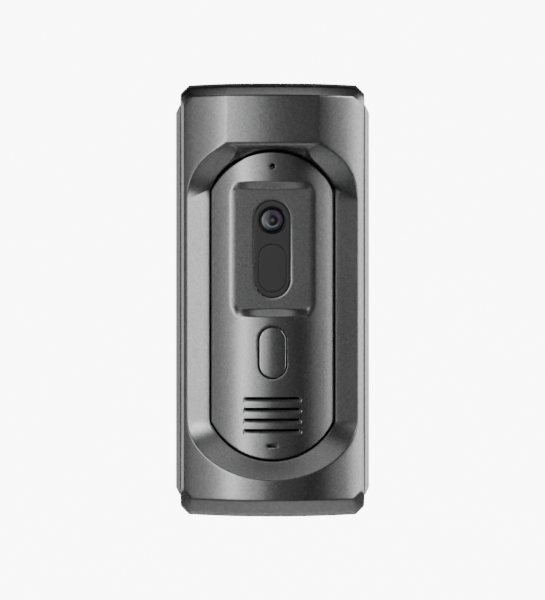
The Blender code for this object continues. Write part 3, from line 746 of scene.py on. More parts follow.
@dataclass
class Plate:
    """A plate with a shaped face, round-edged openings and a plain back.

    The face is a fine triangle net over the outline: depth = face(x, z) less the drop of a
    quarter round, r - sqrt(r^2 - (r - s)^2), where s is the distance to the nearest edge.
    """

    name: str
    outline: Outline
    face: DepthOf
    back: DepthOf
    slot: Slot
    holes: Sequence[Outline] = ()
    lip: float = 0.25
    hole_lip: float = 0.2
    pitch: float = 0.6
    edge_pitch: float = 0.35
    creases: Sequence[Array] = field(default_factory=list)
    finish: Finish | None = None
    rim_shares: tuple[float, ...] = (0.12, 0.35, 0.7, 1.1)
    net_margin: float = 1.4
    crease_margin: float = 1.3

    def count(self, outline: Outline) -> int:
        """Points that go round an outline at the edge pitch."""
        rough = outline.loop(0.0, 64)
        return max(24, int(np.linalg.norm(rough - np.roll(rough, 1, 0), axis=1).sum() / self.edge_pitch))

    def inside(self, x: Array, z: Array, margin: float) -> Array:
        """True where a point is on the plate and clear of its edges.

        Args:
            x: places across.
            z: heights.
            margin: the least distance to an edge.

        Returns:
            A mask.
        """
        found = self.outline.away(x, z) < -margin
        for hole in self.holes:
            found &= hole.away(x, z) > margin
        return found

    def drop(self, x: Array, z: Array) -> Array:
        """How far the edge rounding lowers the face.

        Args:
            x: places across.
            z: heights.

        Returns:
            The drop, 0 away from the edges.
        """
        total = np.zeros_like(x)
        edges = [(-self.outline.away(x, z), self.lip)]
        edges += [(hole.away(x, z), self.hole_lip) for hole in self.holes]
        for distance, radius in edges:
            into = np.clip(radius - distance, 0, radius)
            total += radius - np.sqrt(np.maximum(radius * radius - into * into, 0))
        return total

    def build(self) -> bpy.types.Object:
        """Nets the face and the back and joins them with walls at every edge.

        Returns:
            The plate as one closed piece.
        """
        rims = [self.outline.loop(0.0, self.count(self.outline))]
        rims += [hole.loop(0.0, self.count(hole)) for hole in self.holes]
        cloud = list(rims)
        for share in self.rim_shares:
            cloud.append(self.outline.loop(-share * self.lip, len(rims[0])))
            for hole, rim in zip(self.holes, rims[1:]):
                cloud.append(hole.loop(share * self.hole_lip, len(rim)))
        low, high = rims[0].min(0), rims[0].max(0)
        across, up = (np.arange(low[i], high[i], self.pitch) for i in (0, 1))
        x, z = np.meshgrid(across, up)
        x = x + self.pitch * 0.5 * (np.arange(len(z))[:, None] % 2)
        clear = self.inside(x, z, self.net_margin * max(self.lip, self.hole_lip))
        cloud.append(np.column_stack((x[clear], z[clear])))
        margin = self.crease_margin * self.lip
        cloud += [line[self.inside(line[:, 0], line[:, 1], margin)] for line in self.creases]
        front, front_faces = self.net(np.vstack(cloud), rims)
        rear, rear_faces = self.net(np.vstack(rims), rims)
        front_depth = self.face(front[:, 0], front[:, 1]) - self.drop(front[:, 0], front[:, 1])
        rear_depth = self.back(rear[:, 0], rear[:, 1])
        points = [np.column_stack((front[:, 0], front_depth, front[:, 1]))]
        points.append(np.column_stack((rear[:, 0], rear_depth, rear[:, 1])))
        faces = [tuple(f) for f in front_faces]
        faces += [tuple(f) for f in rear_faces[:, ::-1] + len(front)]
        start = len(front) + len(rear)
        for rim in rims:
            x, z = rim[:, 0], rim[:, 1]
            top = self.face(x, z) - self.drop(x, z)
            for depth in (top, self.back(x, z)):
                points.append(np.column_stack((x, depth, z)))
            faces += [tuple(f) for f in tube_faces(2, len(rim), False, start)]
            start += 2 * len(rim)
        return make_piece(self.name, np.vstack(points), faces, self.slot, finish=self.finish)

    def net(self, cloud: Array, rims: Sequence[Array]) -> tuple[Array, Array]:
        """Triangles over a cloud of points, kept where their middle lies on the plate.

        Args:
            cloud: (n, 2) of x and z, the rims' points first.
            rims: the closed edges that the triangles must follow.

        Returns:
            The points and the triangles' indices.
        """
        edges, start = [], 0
        for rim in rims:
            edges += [(start + i, start + (i + 1) % len(rim)) for i in range(len(rim))]
            start += len(rim)
        found = delaunay_2d_cdt([Vector(p) for p in cloud.tolist()], edges, [], 0, 1e-6)
        points = np.array([tuple(p) for p in found[0]])
        faces = np.array([tuple(f) for f in found[2]])
        middle = points[faces].mean(1)
        return points, faces[self.inside(middle[:, 0], middle[:, 1], -1e-4)]


# --------------------------------------------------------------------------- casting


def arc_drop(radius: float, x: Array) -> Array:
    """Fall of a round away from its crest: r - sqrt(r^2 - x^2)."""
    return radius - np.sqrt(np.maximum(radius * radius - x * x, 0))


@dataclass
class PanelFace:
    """The panel's rounded front with the flat camera field sunk into it."""

    crest: float = 31.0
    radius: float = 42.0
    level: float = 28.55
    low: tuple[float, float] = (-3.05, -5.95)
    high: tuple[float, float] = (38.4, 40.95)
    low_corner: tuple[float, float] = (15.1, 18.0)
    high_corner: tuple[float, float] = (51.4, 53.5)
    soft: float = 0.46
    crisp: float = 0.12

    def round(self, x: Array) -> Array:
        """Depth of the plain round."""
        return self.crest - arc_drop(self.radius, x)

    def rise(self, x: Array, z: Array) -> Array:
        """Share of the way up the walls at the field's ends and corners, 0 on the flat:
        each wall's share is (place - foot) / (top - foot), and the greatest counts.

        Args:
            x: places across.
            z: heights.

        Returns:
            The share between 0 and 1.
        """
        across = np.abs(x)
        shares = (
            (self.low[0] - z) / (self.low[0] - self.low[1]),
            (z - self.high[0]) / (self.high[1] - self.high[0]),
            (across - z - self.low_corner[0]) / (self.low_corner[1] - self.low_corner[0]),
            (across + z - self.high_corner[0]) / (self.high_corner[1] - self.high_corner[0]),
        )
        share = shares[0]
        for other in shares[1:]:
            share = soft_max(share, other, self.crisp)
        return soft_min(soft_max(share, 0 * share, self.crisp), 1 + 0 * share, self.crisp)

    def depth(self, x: Array, z: Array) -> Array:
        """Flat field that runs softly into the round at its sides and climbs ruled walls
        to it at its ends: flat + (round - flat) * rise.

        Args:
            x: places across.
            z: heights.

        Returns:
            The depth of the face.
        """
        base = self.round(x)
        flat = soft_min(base, self.level + 0 * x, self.soft)
        return flat + (base - flat) * self.rise(x, z)


def soft_min(a: Array, b: Array, width: float) -> Array:
    """The lower of two heights with their crossing rounded over a width:
    min(a, b) - h^2 width / 4, where h = max(width - |a - b|, 0) / width."""
    share = np.maximum(width - np.abs(a - b), 0) / width
    return np.minimum(a, b) - share * share * width / 4


def soft_max(a: Array, b: Array, width: float) -> Array:
    """The higher of two heights with their crossing rounded over a width."""
    return -soft_min(-a, -b, width)


@dataclass
class FrontShell:
    """The die-cast front: a rounded face round a sunken ring with a brow at its top.

    Its surface is a wall carried round stations: at each station a line runs from the
    panel opening over the ring, the front and the bevels to the back, and back inside.
    """

    crest: float = 38.0
    radius: float = 59.0
    brow_radius: float = 100.0
    brow_half: float = 16.0
    half: float = 32.0
    height_half: float = 75.0
    corner: float = 2.9
    rim_half: float = 30.7
    rim_top: float = 70.3
    rim_bottom: float = -68.9
    edge_top: float = 73.6
    edge_bottom: float = -73.3
    back: float = 15.2
    wall: float = 2.4
    ring_half: float = 29.6
    ring_rise: float = 21.0
    ring_centre: float = -40.8
    side_top: float = 34.0
    brow_line: float = 52.3
    brow_corner: float = 53.8
    brow_angle: float = math.radians(26.5)
    collar: float = 22.0
    lip: float = 0.3
    stand: float = 0.1
    visor_drop: float = 1.7
    gap: float = 0.55
    brow_crown: float = 1.4
    shoulder_pull: float = 13.0
    brow_pull: tuple[float, float] = (5.0, -2.8)
    lift_fade: float = 8.0
    crest_spread: float = 0.8
    edge_rise: float = 0.15
    side_slope: float = 1.2
    end_slope: float = 0.9
    side_drop: float = 3.2
    inside_wall: float = 2.0
    inside_end: float = 2.2
    collar_width: float = 2.2
    arc_steps: int = 60
    side_steps: int = 16
    shoulder_steps: int = 84
    brow_steps: int = 30
    foot_share: float = 0.62
    rise_share: float = 0.42
    foot_cuts: int = 12
    head_cuts: int = 14
    visor_ease: float = 1.2
    soft_from: float = 0.8
    face_shares: tuple[float, ...] = (0.12, 0.25, 0.4, 0.55, 0.7, 0.85)
    opening: Pill = field(default_factory=Pill)
    panel: PanelFace = field(default_factory=PanelFace)

    def front(self, x: Array, z: Array) -> Array:
        """Depth of the front: a round, and a flatter round between the brow's creases.

        Args:
            x: places across.
            z: heights.

        Returns:
            The depth.
        """
        level = self.crest - arc_drop(self.radius, x)
        crease = np.float64(self.brow_half)
        foot = self.crest - arc_drop(self.radius, crease)
        brow = foot + arc_drop(self.brow_radius, crease) - arc_drop(self.brow_radius, x)
        return np.where((z > 0) & (np.abs(x) < self.brow_half), np.minimum(level, brow), level)

    def shares(self, steps: int) -> Array:
        """Even steps after 0, up to and with 1."""
        return np.arange(1, steps + 1) / steps

    def runs(self, pieces: Sequence[tuple[tuple[float, float], tuple[float, float], int]]) -> Array:
        """Straight runs joined end to end: start * (1 - t) + end * t.

        Args:
            pieces: the start, the end and the number of steps of each run.

        Returns:
            (n, 2) of x and z.
        """
        made = [np.array([pieces[0][0]])]
        for start, end, steps in pieces:
            t = self.shares(steps)[:, None]
            made.append(np.array(start) * (1 - t) + np.array(end) * t)
        return np.vstack(made)

    def frame(self, half: float, bottom: float, top: float) -> Array:
        """Right half of a rectangle with small cut corners, at the stations.

        Args:
            half: its half width.
            bottom: its lowest height.
            top: its highest.

        Returns:
            (stations, 2) of x and z, from the middle of the bottom up to the middle of the top.
        """
        cut, side = half - self.corner, self.shoulder_steps
        low, turn = int(self.arc_steps * self.foot_share), max(2, self.arc_steps // self.foot_cuts)
        up, over = int(side * self.rise_share), max(3, side // self.head_cuts)
        brow = self.brow_half
        return self.runs(
            [
                ((0.0, bottom), (cut, bottom), low),
                ((cut, bottom), (half, bottom + self.corner), turn),
                ((half, bottom + self.corner), (half, self.ring_centre), self.arc_steps - low - turn),
                ((half, self.ring_centre), (half, self.side_top), self.side_steps),
                ((half, self.side_top), (half, top - self.corner), up),
                ((half, top - self.corner), (cut, top), over),
                ((cut, top), (brow, top), side - up - over),
                ((brow, top), (0.0, top), self.brow_steps),
            ]
        )

    def ring(self, half: float, rise: float, shift: float, brow: float) -> Array:
        """Right half of the sunken ring's outline: a quarter ellipse, the side, a cubic S
        curve up to the brow's corner, then the brow's lower edge.

        Args:
            half: its half width.
            rise: how far its lower end reaches below the ellipse's middle.
            shift: how far the brow's corner is moved out and up.
            brow: height of the brow's edge at the middle.

        Returns:
            (stations, 2) of x and z.
        """
        angle = np.linspace(0, math.pi / 2, self.arc_steps + 1)
        arc = np.column_stack((half * np.sin(angle), self.ring_centre - rise * np.cos(angle)))
        t = self.shares(self.side_steps)
        side = np.column_stack((half + 0 * t, self.ring_centre + (self.side_top - self.ring_centre) * t))
        corner = np.array((self.brow_half + shift, self.brow_corner + shift))
        start = np.array((half, self.side_top))
        t = self.shares(self.shoulder_steps)[:, None]
        bends = (start, start + (0, self.shoulder_pull + shift), corner + self.brow_pull, corner)
        weights = ((1 - t) ** 3, 3 * t * (1 - t) ** 2, 3 * t * t * (1 - t), t**3)
        shoulder = sum(w * np.asarray(p) for w, p in zip(weights, bends))
        t = self.shares(self.brow_steps)[:, None]
        edge = corner * (1 - t) + np.array((0.0, brow)) * t
        edge[:, 1] = brow + (corner[1] - brow) * (1 - t[:, 0]) ** 3
        return np.vstack((arc, side, shoulder, edge))

    def arch_angles(self, corner: float) -> Array:
        """Angle from the top of the opening's arch at the shoulder and brow stations.

        Args:
            corner: the angle where the arch starts.

        Returns:
            The angles, down to 0 at the top.
        """
        share = (np.arange(self.shoulder_steps) / (self.shoulder_steps - 1)) ** self.crest_spread
        t = self.shares(self.brow_steps)
        shoulder = corner + (self.brow_angle - corner) * share
        return np.concatenate((shoulder, self.brow_angle * (1 - t)))

    def pill(self, grow: float, lift: Array | None = None) -> Array:
        """Right half of the opening's outline: arc, side and arch.

        Args:
            grow: how far it is grown all round.
            lift: how much farther it is grown at each station of the arch.

        Returns:
            (stations, 2) of x and z.
        """
        half, radius = self.opening.half + grow, self.opening.radius + grow
        corner = math.asin(half / radius)
        angle = np.linspace(0, corner, self.arc_steps)
        arc = np.column_stack((radius * np.sin(angle), self.opening.arc_bottom - radius * np.cos(angle)))
        t = self.shares(self.side_steps)
        side = np.column_stack((half + 0 * t, self.ring_centre + (self.side_top - self.ring_centre) * t))
        angle = self.arch_angles(corner)
        grown = radius + (0 if lift is None else lift)
        arch = np.column_stack(
            (np.minimum(half, grown * np.sin(angle)), self.opening.arc_top + grown * np.cos(angle))
        )
        return np.vstack((arc, [[half, self.ring_centre]], side, arch))

    def brow_lift(self) -> Array:
        """How far the brow's edge stands off the arch: it dies away down the shoulder as
        e^(fade * (station - 1)) and follows the straight brow line across the top.

        Returns:
            The lift at each station of the arch.
        """
        reach = (self.brow_line - self.opening.arc_top) / np.cos(self.arch_angles(0.0))
        straight = reach - self.opening.radius - self.gap - self.lip
        station = np.arange(1, self.shoulder_steps + 1) / self.shoulder_steps
        tail = straight[self.shoulder_steps] * np.exp((station - 1) * self.lift_fade)
        return np.concatenate((tail, straight[self.shoulder_steps :]))

    def keys(self) -> tuple[Array, list[Array]]:
        """The corner points of every station's line, and the rounding of each corner.

        Returns:
            (stations, corners, 3) points, and a column of radii for each corner.
        """
        opening = self.pill(self.gap)
        level = self.panel.round(opening[:, 0]) + self.stand
        edge = self.pill(self.gap + self.lip, self.brow_lift())
        first = self.arc_steps + self.side_steps
        share = np.clip((np.arange(len(edge)) - first) / self.shoulder_steps, 0, 1)
        crease = first + self.shoulder_steps
        visor = self.front(*edge.T) - self.visor_drop
        foot = level + self.edge_rise
        edge_depth = foot + (visor[crease] - foot[crease]) * share**self.visor_ease
        edge_depth[crease:] = visor[crease:]
        soft = np.clip((share - self.soft_from) / (1 - self.soft_from), 0, 1)
        crown = self.brow_line + self.brow_crown
        outer = self.ring(self.ring_half, self.ring_rise, 0.0, crown)
        rim = self.frame(self.rim_half, self.rim_bottom, self.rim_top)
        bevel = self.frame(self.half, self.edge_bottom, self.edge_top)
        side = self.frame(self.half, -self.height_half, self.height_half)
        end = self.height_half - self.inside_end
        inside = self.frame(self.half - self.inside_wall, -end, end)
        shoulder = self.frame(self.rim_half - 0.8, self.rim_bottom + 1.3, self.rim_top - 1.3)
        inner = self.ring(self.ring_half - 0.3, self.ring_rise + 1.5, 2.0, crown + 1.2)
        collar = self.pill(self.gap + self.collar_width)
        bevel_depth = self.bevel_depth(bevel)
        flat = np.zeros(len(opening))
        rows = [
            (opening, level, 0.12),
            (edge, edge_depth, 0.4 + 0.7 * soft),
            (outer, self.front(*outer.T), 0.4 + 1.6 * soft),
        ]
        for t in self.face_shares:
            mid = outer * (1 - t) + rim * t
            rows.append((mid, self.front(*mid.T), 0.0))
        rows += [
            (rim, self.front(*rim.T), 0.7),
            (bevel, bevel_depth, 0.9),
            (side, bevel_depth - self.side_drop, 0.9),
            (side, flat + self.back, 0.3),
            (inside, flat + self.back, 0.2),
            (shoulder, self.front(*shoulder.T) - self.wall - 0.3, 0.0),
            (inner, self.front(*inner.T) - self.wall - 0.4, 0.0),
            (collar, flat + self.collar, 0.0),
            (opening, flat + self.collar, 0.0),
        ]
        points = np.stack([np.column_stack((line[:, 0], depth, line[:, 1])) for line, depth, _ in rows], 1)
        return points, [np.broadcast_to(radius, len(opening))[:, None] for _, _, radius in rows]

    def bevel_depth(self, outline: Array) -> Array:
        """Depth on the bevel: the front at the rim, less a slope times the way past it.

        Args:
            outline: (stations, 2) of x and z.

        Returns:
            The depth at each station.
        """
        x, z = np.abs(outline[:, 0]), outline[:, 1]
        over_side = np.maximum(0, x - self.rim_half)
        over_end = np.maximum(0, np.maximum(z - self.rim_top, self.rim_bottom - z))
        rim = self.front(np.minimum(x, self.rim_half), z)
        return rim - self.side_slope * over_side - self.end_slope * over_end

    def build(self) -> bpy.types.Object:
        """Rounds every station's line, mirrors the half and joins the lines. A corner is
        rounded by (1 - t)^2 a + 2t(1 - t) corner + t^2 b, with a and b a radius away.

        Returns:
            The casting as one closed piece.
        """
        keys, radii = self.keys()
        before, after = np.roll(keys, 1, 1), np.roll(keys, -1, 1)
        columns = []
        for k, radius in enumerate(radii):
            corner = keys[:, k]
            if not radius.any():
                columns.append(corner)
                continue
            ends = []
            for other in (before[:, k], after[:, k]):
                step = other - corner
                length = np.maximum(np.linalg.norm(step, axis=1, keepdims=True), 1e-6)
                ends.append(corner + step * np.minimum(radius / length, CORNER_SHARE))
            for t in CORNER_STEPS:
                columns.append((1 - t) ** 2 * ends[0] + 2 * t * (1 - t) * corner + t * t * ends[1])
        right = np.stack(columns, 0)
        left = right[:, -2:0:-1] * (-1, 1, 1)
        whole = np.concatenate((right, left), 1)
        rows, around = whole.shape[:2]
        faces = tube_faces(rows, around, True)
        return make_piece("shell_casting", whole.reshape(-1, 3), faces, Slot.GUNMETAL, 50.0)


@dataclass
class FrontPanel:
    """The pill-shaped centre panel with its openings and sound louvres."""

    face: PanelFace = field(default_factory=PanelFace)
    outline: Pill = field(default_factory=Pill)
    floor: float = 26.4
    wall: float = 2.0
    window: Stadium = Stadium(6.3, 16.95, 17.65)
    button: Stadium = Stadium(5.15, 9.2, -18.2)
    drain: Stadium = Stadium(1.8, 0.55, -50.5)
    microphone: Stadium = Stadium(0.97, 0.97, 46.2)
    slot_half: float = 9.3
    slot_rise: float = 0.36
    slot_top: float = -34.05
    slot_pitch: float = 3.68
    slot_count: int = 4
    scoop_half: float = 10.2
    scoop_rise: float = 2.0
    scoop_depth: float = 0.75
    scoop_end: float = 1.0
    scoop_edge: float = 0.35
    flange_steps: int = 260
    flange_line: tuple[tuple[float, float], ...] = (
        (-0.5, 23.2),
        (-0.5, 20.3),
        (2.0, 20.3),
        (2.0, 18.8),
        (-2.0, 18.8),
        (-2.0, 23.2),
    )

    @property
    def slot_heights(self) -> list[float]:
        """Heights of the sound openings, from the top one down."""
        return [self.slot_top - self.slot_pitch * i for i in range(self.slot_count)]

    def slots(self) -> list[Stadium]:
        """The narrow sound openings."""
        return [Stadium(self.slot_half, self.slot_rise, z) for z in self.slot_heights]

    def depth(self, x: Array, z: Array) -> Array:
        """The face with a louvre under each slot: a scoop with rounded upper ends that is
        deepest at the slot and runs out to nothing below it.

        Args:
            x: places across.
            z: heights.

        Returns:
            The depth of the face.
        """
        level = self.face.depth(x, z)
        for height in self.slot_heights:
            top = height + self.slot_rise
            below = np.clip((top - z) / self.scoop_rise, 0, 1)
            middle = top - 0.85
            scoop = Stadium(self.scoop_half, self.scoop_end, middle)
            within = np.clip(-scoop.away(x, np.maximum(z, middle)) / self.scoop_edge, 0, 1)
            within = within * within * (3 - 2 * within)
            level = level - self.scoop_depth * (1 - below) ** 1.3 * within * (z < top + 0.15)
        return level

    def creases(self) -> list[Array]:
        """Extra points along the field's edges and round the louvres.

        Returns:
            Arrays of x and z.
        """
        lines = []
        across = np.arange(-15.5, 15.6, 0.3)
        for z in (*self.face.high, *self.face.low):
            for shift in (-0.22, -0.08, 0.08, 0.22):
                lines.append(np.column_stack((across, z + shift + 0 * across)))
        for height in self.slot_heights:
            for shift in np.arange(-1.8, 0.6, 0.22):
                wide = np.arange(-10.6, 10.61, 0.3)
                lines.append(np.column_stack((wide, height + shift + 0 * wide)))
            tips = np.arange(8.6, 10.8, 0.16)
            u, v = np.meshgrid(np.concatenate((-tips, tips)), np.arange(-1.5, 0.7, 0.16))
            lines.append(np.column_stack((u.ravel() + 0.03, height + v.ravel() + 0.05)))
        return lines

    def build(self) -> list[bpy.types.Object]:
        """The plate, and the flange and skirt that hold it behind the shell.

        Returns:
            The two pieces.
        """
        holes = [self.window, self.button, self.drain, self.microphone, *self.slots()]
        plate = Plate(
            "panel_casting",
            self.outline,
            self.depth,
            lambda x, z: np.minimum(self.face.round(x) - self.wall, self.floor),
            Slot.GUNMETAL,
            holes,
            lip=0.45,
            hole_lip=0.09,
            pitch=0.5,
            edge_pitch=0.3,
            creases=self.creases(),
            finish=PANEL_PAINT,
        )
        return [plate.build(), self.flange()]

    def flange(self) -> bpy.types.Object:
        """The skirt behind the plate's edge and its flat flange, as a profile carried round.

        Returns:
            The flange as one closed piece.
        """
        loops = []
        for grow, depth in self.flange_line:
            line = self.outline.loop(grow, self.flange_steps)
            loops.append(np.column_stack((line[:, 0], depth + 0 * line[:, 0], line[:, 1])))
        faces = tube_faces(len(loops), self.flange_steps, True)
        return make_piece("panel_flange", np.vstack(loops), faces, Slot.GUNMETAL)


@dataclass
class CallButton:
    """The stadium push button: it follows the panel's round with a slight crown."""

    outline: Stadium = Stadium(4.75, 8.8, -18.2)
    face: PanelFace = field(default_factory=PanelFace)
    crown: float = 0.22
    sink: float = 0.05
    seat: float = 25.2
    flange_front: float = 25.1
    flange_back: float = 24.0
    flange_width: float = 1.1

    def depth(self, x: Array, z: Array) -> Array:
        """The panel's round plus a crown that dies out at the button's edge."""
        inward = np.clip(-self.outline.away(x, z) / self.outline.half_x, 0, 1)
        return self.face.round(x) + self.crown * (1 - (1 - inward) ** 2) - self.sink

    def build(self) -> bpy.types.Object:
        """The cap that the finger meets."""
        cap = Plate("button_cap", self.outline, self.depth, flat_at(self.seat), Slot.GUNMETAL)
        cap.lip, cap.pitch, cap.edge_pitch = 0.4, 0.4, 0.3
        return cap.build()

    def flange(self) -> bpy.types.Object:
        """The flange behind the panel that stops the cap from falling out.

        Returns:
            The flange.
        """
        cap, more = self.outline, self.flange_width
        edge = Stadium(cap.half_x + more, cap.half_z + more, cap.centre_z)
        front, back = flat_at(self.flange_front), flat_at(self.flange_back)
        plate = Plate("button_flange", edge, front, back, Slot.GUNMETAL)
        plate.pitch = 1.5
        return plate.build()

    def stem(self) -> bpy.types.Object:
        """The short post that meets the key switch."""
        profile = [(0.6, 23.5), (1.8, 23.5), (2.0, 23.7), (2.0, 23.95)]
        return turned("button_stem", self.outline.centre_z, profile, Slot.GUNMETAL, 40)


@dataclass
class CameraBlock:
    """The dark window with the lens and the night-light window in it."""

    window: Stadium = Stadium(6.1, 16.75, 17.65)
    light: Stadium = Stadium(4.85, 8.4, 11.0)
    lens_z: float = 27.7
    lens_r: float = 4.65
    front: float = 28.3
    window_back: float = 25.6
    light_back: float = 26.2
    light_gap: float = 0.1
    lens_gap: float = 0.12
    glass_r: float = 3.8
    glass_crest: float = 28.2
    glass_sag: float = 0.45
    glass_back: float = 26.6
    pole: float = 0.02

    def build(self) -> dict[str, bpy.types.Object]:
        """Builds the window, the pane in it and the lens.

        Returns:
            The pieces, by the CAD node that each stands for.
        """
        made = {}
        lens_hole = Stadium(self.lens_r + self.lens_gap, self.lens_r + self.lens_gap, self.lens_z)
        window = Plate(
            "window_insert",
            self.window,
            flat_at(self.front),
            flat_at(self.window_back),
            Slot.SMOKED,
            [lens_hole, self.light],
            lip=0.1,
            hole_lip=0.1,
            pitch=0.8,
        )
        made["camera_window"] = window.build()
        hole, gap = self.light, self.light_gap
        light = Stadium(hole.half_x - gap, hole.half_z - gap, hole.centre_z)
        front, back = flat_at(self.front), flat_at(self.light_back)
        pane = Plate("night_light_pane", light, front, back, Slot.SMOKED)
        pane.lip, pane.pitch = 0.16, 0.8
        made["ir_window"] = pane.build()
        made["lens_bezel"] = self.bezel()
        made["lens_glass"] = self.glass()
        made["lens_barrel"] = self.barrel()
        return made

    def bezel(self) -> bpy.types.Object:
        """Thin black ring with a bright bevelled lip round a dished throat.

        Returns:
            The ring.
        """
        r, throat = self.lens_r, 3.9
        line = [(r, 25.2), (r, 28.55), (r - 0.12, 28.62), (r - 0.5, 28.45), (r - 0.62, 28.0)]
        line += [(throat, 27.55), (throat, 25.2)]
        return turned("lens_ring", self.lens_z, line, Slot.BLACK_METAL, 128, True)

    def glass(self) -> bpy.types.Object:
        """Domed front element: depth is crest - sag * (r / rim)^2.

        Returns:
            The lens.
        """
        radius = np.linspace(self.pole, self.glass_r, 26)
        depth = self.glass_crest - self.glass_sag * (radius / self.glass_r) ** 2
        back = [(self.glass_r, self.glass_back), (self.pole, self.glass_back)]
        return turned("lens_dome", self.lens_z, [*zip(radius, depth), *back], Slot.GLASS, 128)

    def barrel(self) -> bpy.types.Object:
        """The tube behind the glass, with its stepped inner baffles.

        Returns:
            The tube.
        """
        line = [(3.1, 22.4), (3.1, 26.0), (2.7, 26.0), (2.5, 25.4), (2.2, 25.4)]
        line += [(2.0, 24.7), (1.6, 24.7), (1.4, 22.4)]
        return turned("lens_tube", self.lens_z, line, Slot.BLACK_METAL, 64, True)


@dataclass
class BevelledCasting:
    """A CAD node copied, with its flat faces joined and its edges broken."""

    node: str
    name: str
    slot: Slot
    width: float = 0.35
    segments: int = 3
    flat_angle: float = 0.5
    edge_angle: float = 35.0
    smooth_angle: float = 30.0

    def build(self, nodes: dict) -> bpy.types.Object:
        """Welds a copy of the node's mesh, joins flat faces and bevels its edges.

        Args:
            nodes: the frame's objects by node name.

        Returns:
            The casting, with the normals of its flats kept level.
        """
        mesh = nodes[self.node].data.copy()
        mesh.name = self.name
        shape = bmesh.new()
        shape.from_mesh(mesh)
        bmesh.ops.remove_doubles(shape, verts=shape.verts, dist=CAD_WELD)
        bmesh.ops.dissolve_limit(
            shape,
            angle_limit=math.radians(self.flat_angle),
            verts=shape.verts,
            edges=shape.edges,
            use_dissolve_boundaries=False,
        )
        least = math.radians(self.edge_angle)
        sharp = [e for e in shape.edges if len(e.link_faces) == 2 and e.calc_face_angle() > least]
        bmesh.ops.bevel(
            shape,
            geom=sharp,
            offset=self.width * MM,
            offset_type="OFFSET",
            segments=self.segments,
            profile=0.5,
            affect="EDGES",
            clamp_overlap=True,
        )
        bmesh.ops.triangulate(shape, faces=[f for f in shape.faces if len(f.verts) > 4])
        shape.to_mesh(mesh)
        shape.free()
        mesh.shade_smooth()
        mesh.set_sharp_from_angle(angle=math.radians(self.smooth_angle))
        mesh.materials.clear()
        mesh.materials.append(FINISHES[self.slot].make())
        made = bpy.data.objects.new(self.name, mesh)
        bpy.context.scene.collection.objects.link(made)
        flats = made.modifiers.new("level_flats", "WEIGHTED_NORMAL")
        flats.keep_sharp = True
        flats.weight = 100
        return made


# --------------------------------------------------------------------------- studio


@dataclass(frozen=True)
class Softbox:
    """A rectangular studio light, placed by its bearing from the object."""

    name: str
    bearing: float
    height: float
    reach: float
    width: float
    tall: float
    power: float

    def hang(self) -> None:
        """Puts the light at its bearing and elevation, facing the object."""
        bearing, height = math.radians(self.bearing), math.radians(self.height)
        away = Vector(
            (math.sin(bearing) * math.cos(height), -math.cos(bearing) * math.cos(height), math.sin(height))
        )
        data = bpy.data.lights.new(self.name, "AREA")
        data.shape = "RECTANGLE"
        data.size, data.size_y = self.width, self.tall
        data.energy = self.power
        lamp = bpy.data.objects.new(self.name, data)
        lamp.location = away * self.reach + Vector((0, -0.03, 0))
        lamp.rotation_euler = (-away).to_track_quat("-Z", "Y").to_euler()
        bpy.context.scene.collection.objects.link(lamp)


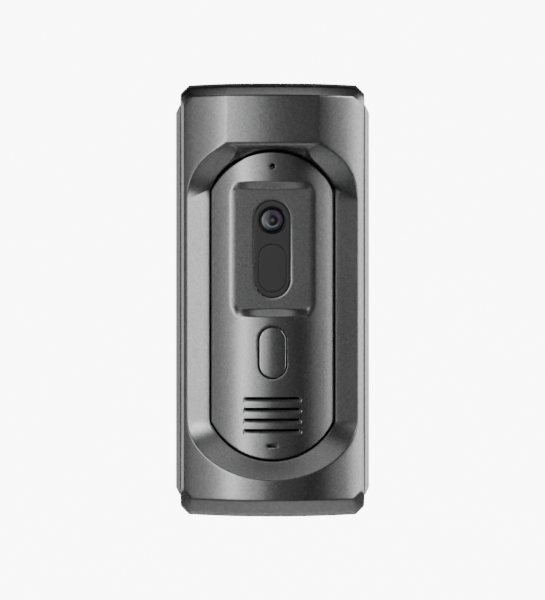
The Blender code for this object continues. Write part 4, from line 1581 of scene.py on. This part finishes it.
@dataclass
class Studio:
    """Camera, soft lights, pale floor and glowing backdrop."""

    reach: float = 0.70
    front_plane: float = 0.033
    frame_height: float = 0.2068
    floor_drop: float = 1.3
    stage_half: float = 3.0
    stage_back: float = 1.6
    wall_low: float = -2.0
    backdrop_glow: float = 9.0
    world_light: float = 0.004
    softboxes: tuple[Softbox, ...] = (
        Softbox("left_wall", -104.0, 4.0, 1.1, 0.50, 1.0, 2.9),
        Softbox("left_fill", -57.0, 6.0, 1.1, 0.20, 1.0, 0.5),
        Softbox("left_strip", -45.0, 6.0, 1.1, 0.18, 1.0, 0.55),
        Softbox("key", -30.0, 9.0, 1.1, 0.20, 1.0, 4.2),
        Softbox("key_side", -21.0, 6.0, 1.1, 0.15, 1.0, 1.05),
        Softbox("front_left", -11.0, 6.0, 1.1, 0.15, 1.0, 0.75),
        Softbox("front_right", 12.0, 6.0, 1.1, 0.40, 1.0, 0.18),
        Softbox("right_strip", 46.0, 6.0, 1.1, 0.15, 1.0, 0.3),
        Softbox("right_wall", 69.0, 6.0, 1.1, 0.36, 1.0, 5.2),
        Softbox("right_far", 98.0, 6.0, 1.1, 0.60, 1.0, 6.5),
        Softbox("high_right", 60.0, 32.0, 1.1, 0.30, 0.30, 2.6),
        Softbox("overhead", 0.0, 78.0, 1.1, 1.2, 0.5, 1.7),
    )

    def build(self) -> None:
        """Sets the camera, the lights, the world and the stage."""
        data = bpy.data.cameras.new("camera")
        data.sensor_width = 36.0
        data.lens = data.sensor_width * self.reach / self.frame_height
        camera = bpy.data.objects.new("camera", data)
        camera.location = (0.0, -self.reach - self.front_plane, 0.0)
        camera.rotation_euler = (math.radians(90), 0, 0)
        bpy.context.scene.collection.objects.link(camera)
        bpy.context.scene.camera = camera
        for box in self.softboxes:
            box.hang()
        world = bpy.data.worlds.new("studio")
        world.use_nodes = True
        sky = world.node_tree.nodes["Background"].inputs
        sky["Color"].default_value = (1.0, 1.0, 1.0, 1.0)
        sky["Strength"].default_value = self.world_light
        bpy.context.scene.world = world
        side, back, low = self.stage_half, self.stage_back, self.wall_low
        wall = ((-side, back, low), (side, back, low), (side, back, side), (-side, back, side))
        ground = ((-side, -side, 0), (side, -side, 0), (side, back, 0), (-side, back, 0))
        self.sheet("backdrop", wall, self.backdrop_glow)
        self.sheet("floor", ground, 0.0)

    def sheet(self, name: str, corners: Sequence[tuple[float, float, float]], glow: float) -> None:
        """One flat stage piece, dropped below the object.

        Args:
            name: the piece's name.
            corners: x, y, z in metres, before the drop.
            glow: strength of the light that it gives off round its middle.
        """
        mesh = bpy.data.meshes.new(name)
        lowered = [(x, y, z - self.floor_drop) for x, y, z in corners]
        mesh.from_pydata(lowered, [], [(0, 1, 2, 3)])
        finish = StageCloth(f"{name}_paper", (0.85, 0.85, 0.85), 0.9, tone_spread=0.01, glow=glow)
        mesh.materials.append(finish.make())
        made = bpy.data.objects.new(name, mesh)
        bpy.context.scene.collection.objects.link(made)
        made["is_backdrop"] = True


# --------------------------------------------------------------------------- assembly


@dataclass
class Doorbell:
    """The whole unit: new surfaces over the frame, finishes on every kept node."""

    frame: dict
    home: str = "unit"
    smooth_angle: float = 32.0

    def dress_nodes(self) -> None:
        """Gives each CAD node the finish of its record slot."""
        for part in self.frame["record"]["subparts"]:
            node = self.frame["nodes"][part["node"]]
            node.data.materials.clear()
            node.data.materials.append(FINISHES[Slot(part["material_slot"])].make())
            node.data.shade_smooth()
            node.data.set_sharp_from_angle(angle=math.radians(self.smooth_angle))

    def settle(self, piece: bpy.types.Object, body: str, *nodes: str) -> None:
        """Makes a piece ride on a body, stand for CAD nodes and be reported.

        Args:
            piece: the finished object.
            body: the body that carries it.
            nodes: the CAD nodes that it stands for.
        """
        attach(piece, body)
        if nodes:
            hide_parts(*nodes)
        LOG.info("%s: %d faces on %s", piece.name, len(piece.data.polygons), body)

    def build(self) -> None:
        """Builds every sub-assembly in order."""
        self.dress_nodes()
        self.settle(FrontShell().build(), self.home, "front_shell")
        plate, flange = FrontPanel().build()
        self.settle(plate, self.home, "front_panel")
        self.settle(flange, self.home)
        for node, piece in CameraBlock().build().items():
            self.settle(piece, self.home, node)
        button = CallButton()
        self.settle(button.build(), "button", "call_button")
        self.settle(button.flange(), "button")
        self.settle(button.stem(), "button")
        castings = (
            BevelledCasting("rear_housing", "housing_casting", Slot.GUNMETAL),
            BevelledCasting("wall_bracket", "bracket_plate", Slot.ZINC, 0.2, 2),
        )
        for casting in castings:
            self.settle(casting.build(self.frame["nodes"]), self.home, casting.node)


def main() -> None:
    """Builds the doorbell over the loaded frame, then the studio round it."""
    logging.basicConfig(level=logging.INFO, format="%(message)s")
    Doorbell(frame).build()
    Studio().build()


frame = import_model()
cad_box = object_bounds()

if __name__ == "__main__":
    main()
    sizes = {"cad": cad_box, "visual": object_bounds()}
    {box: [list(map(float, corner)) for corner in v] for box, v in sizes.items()}
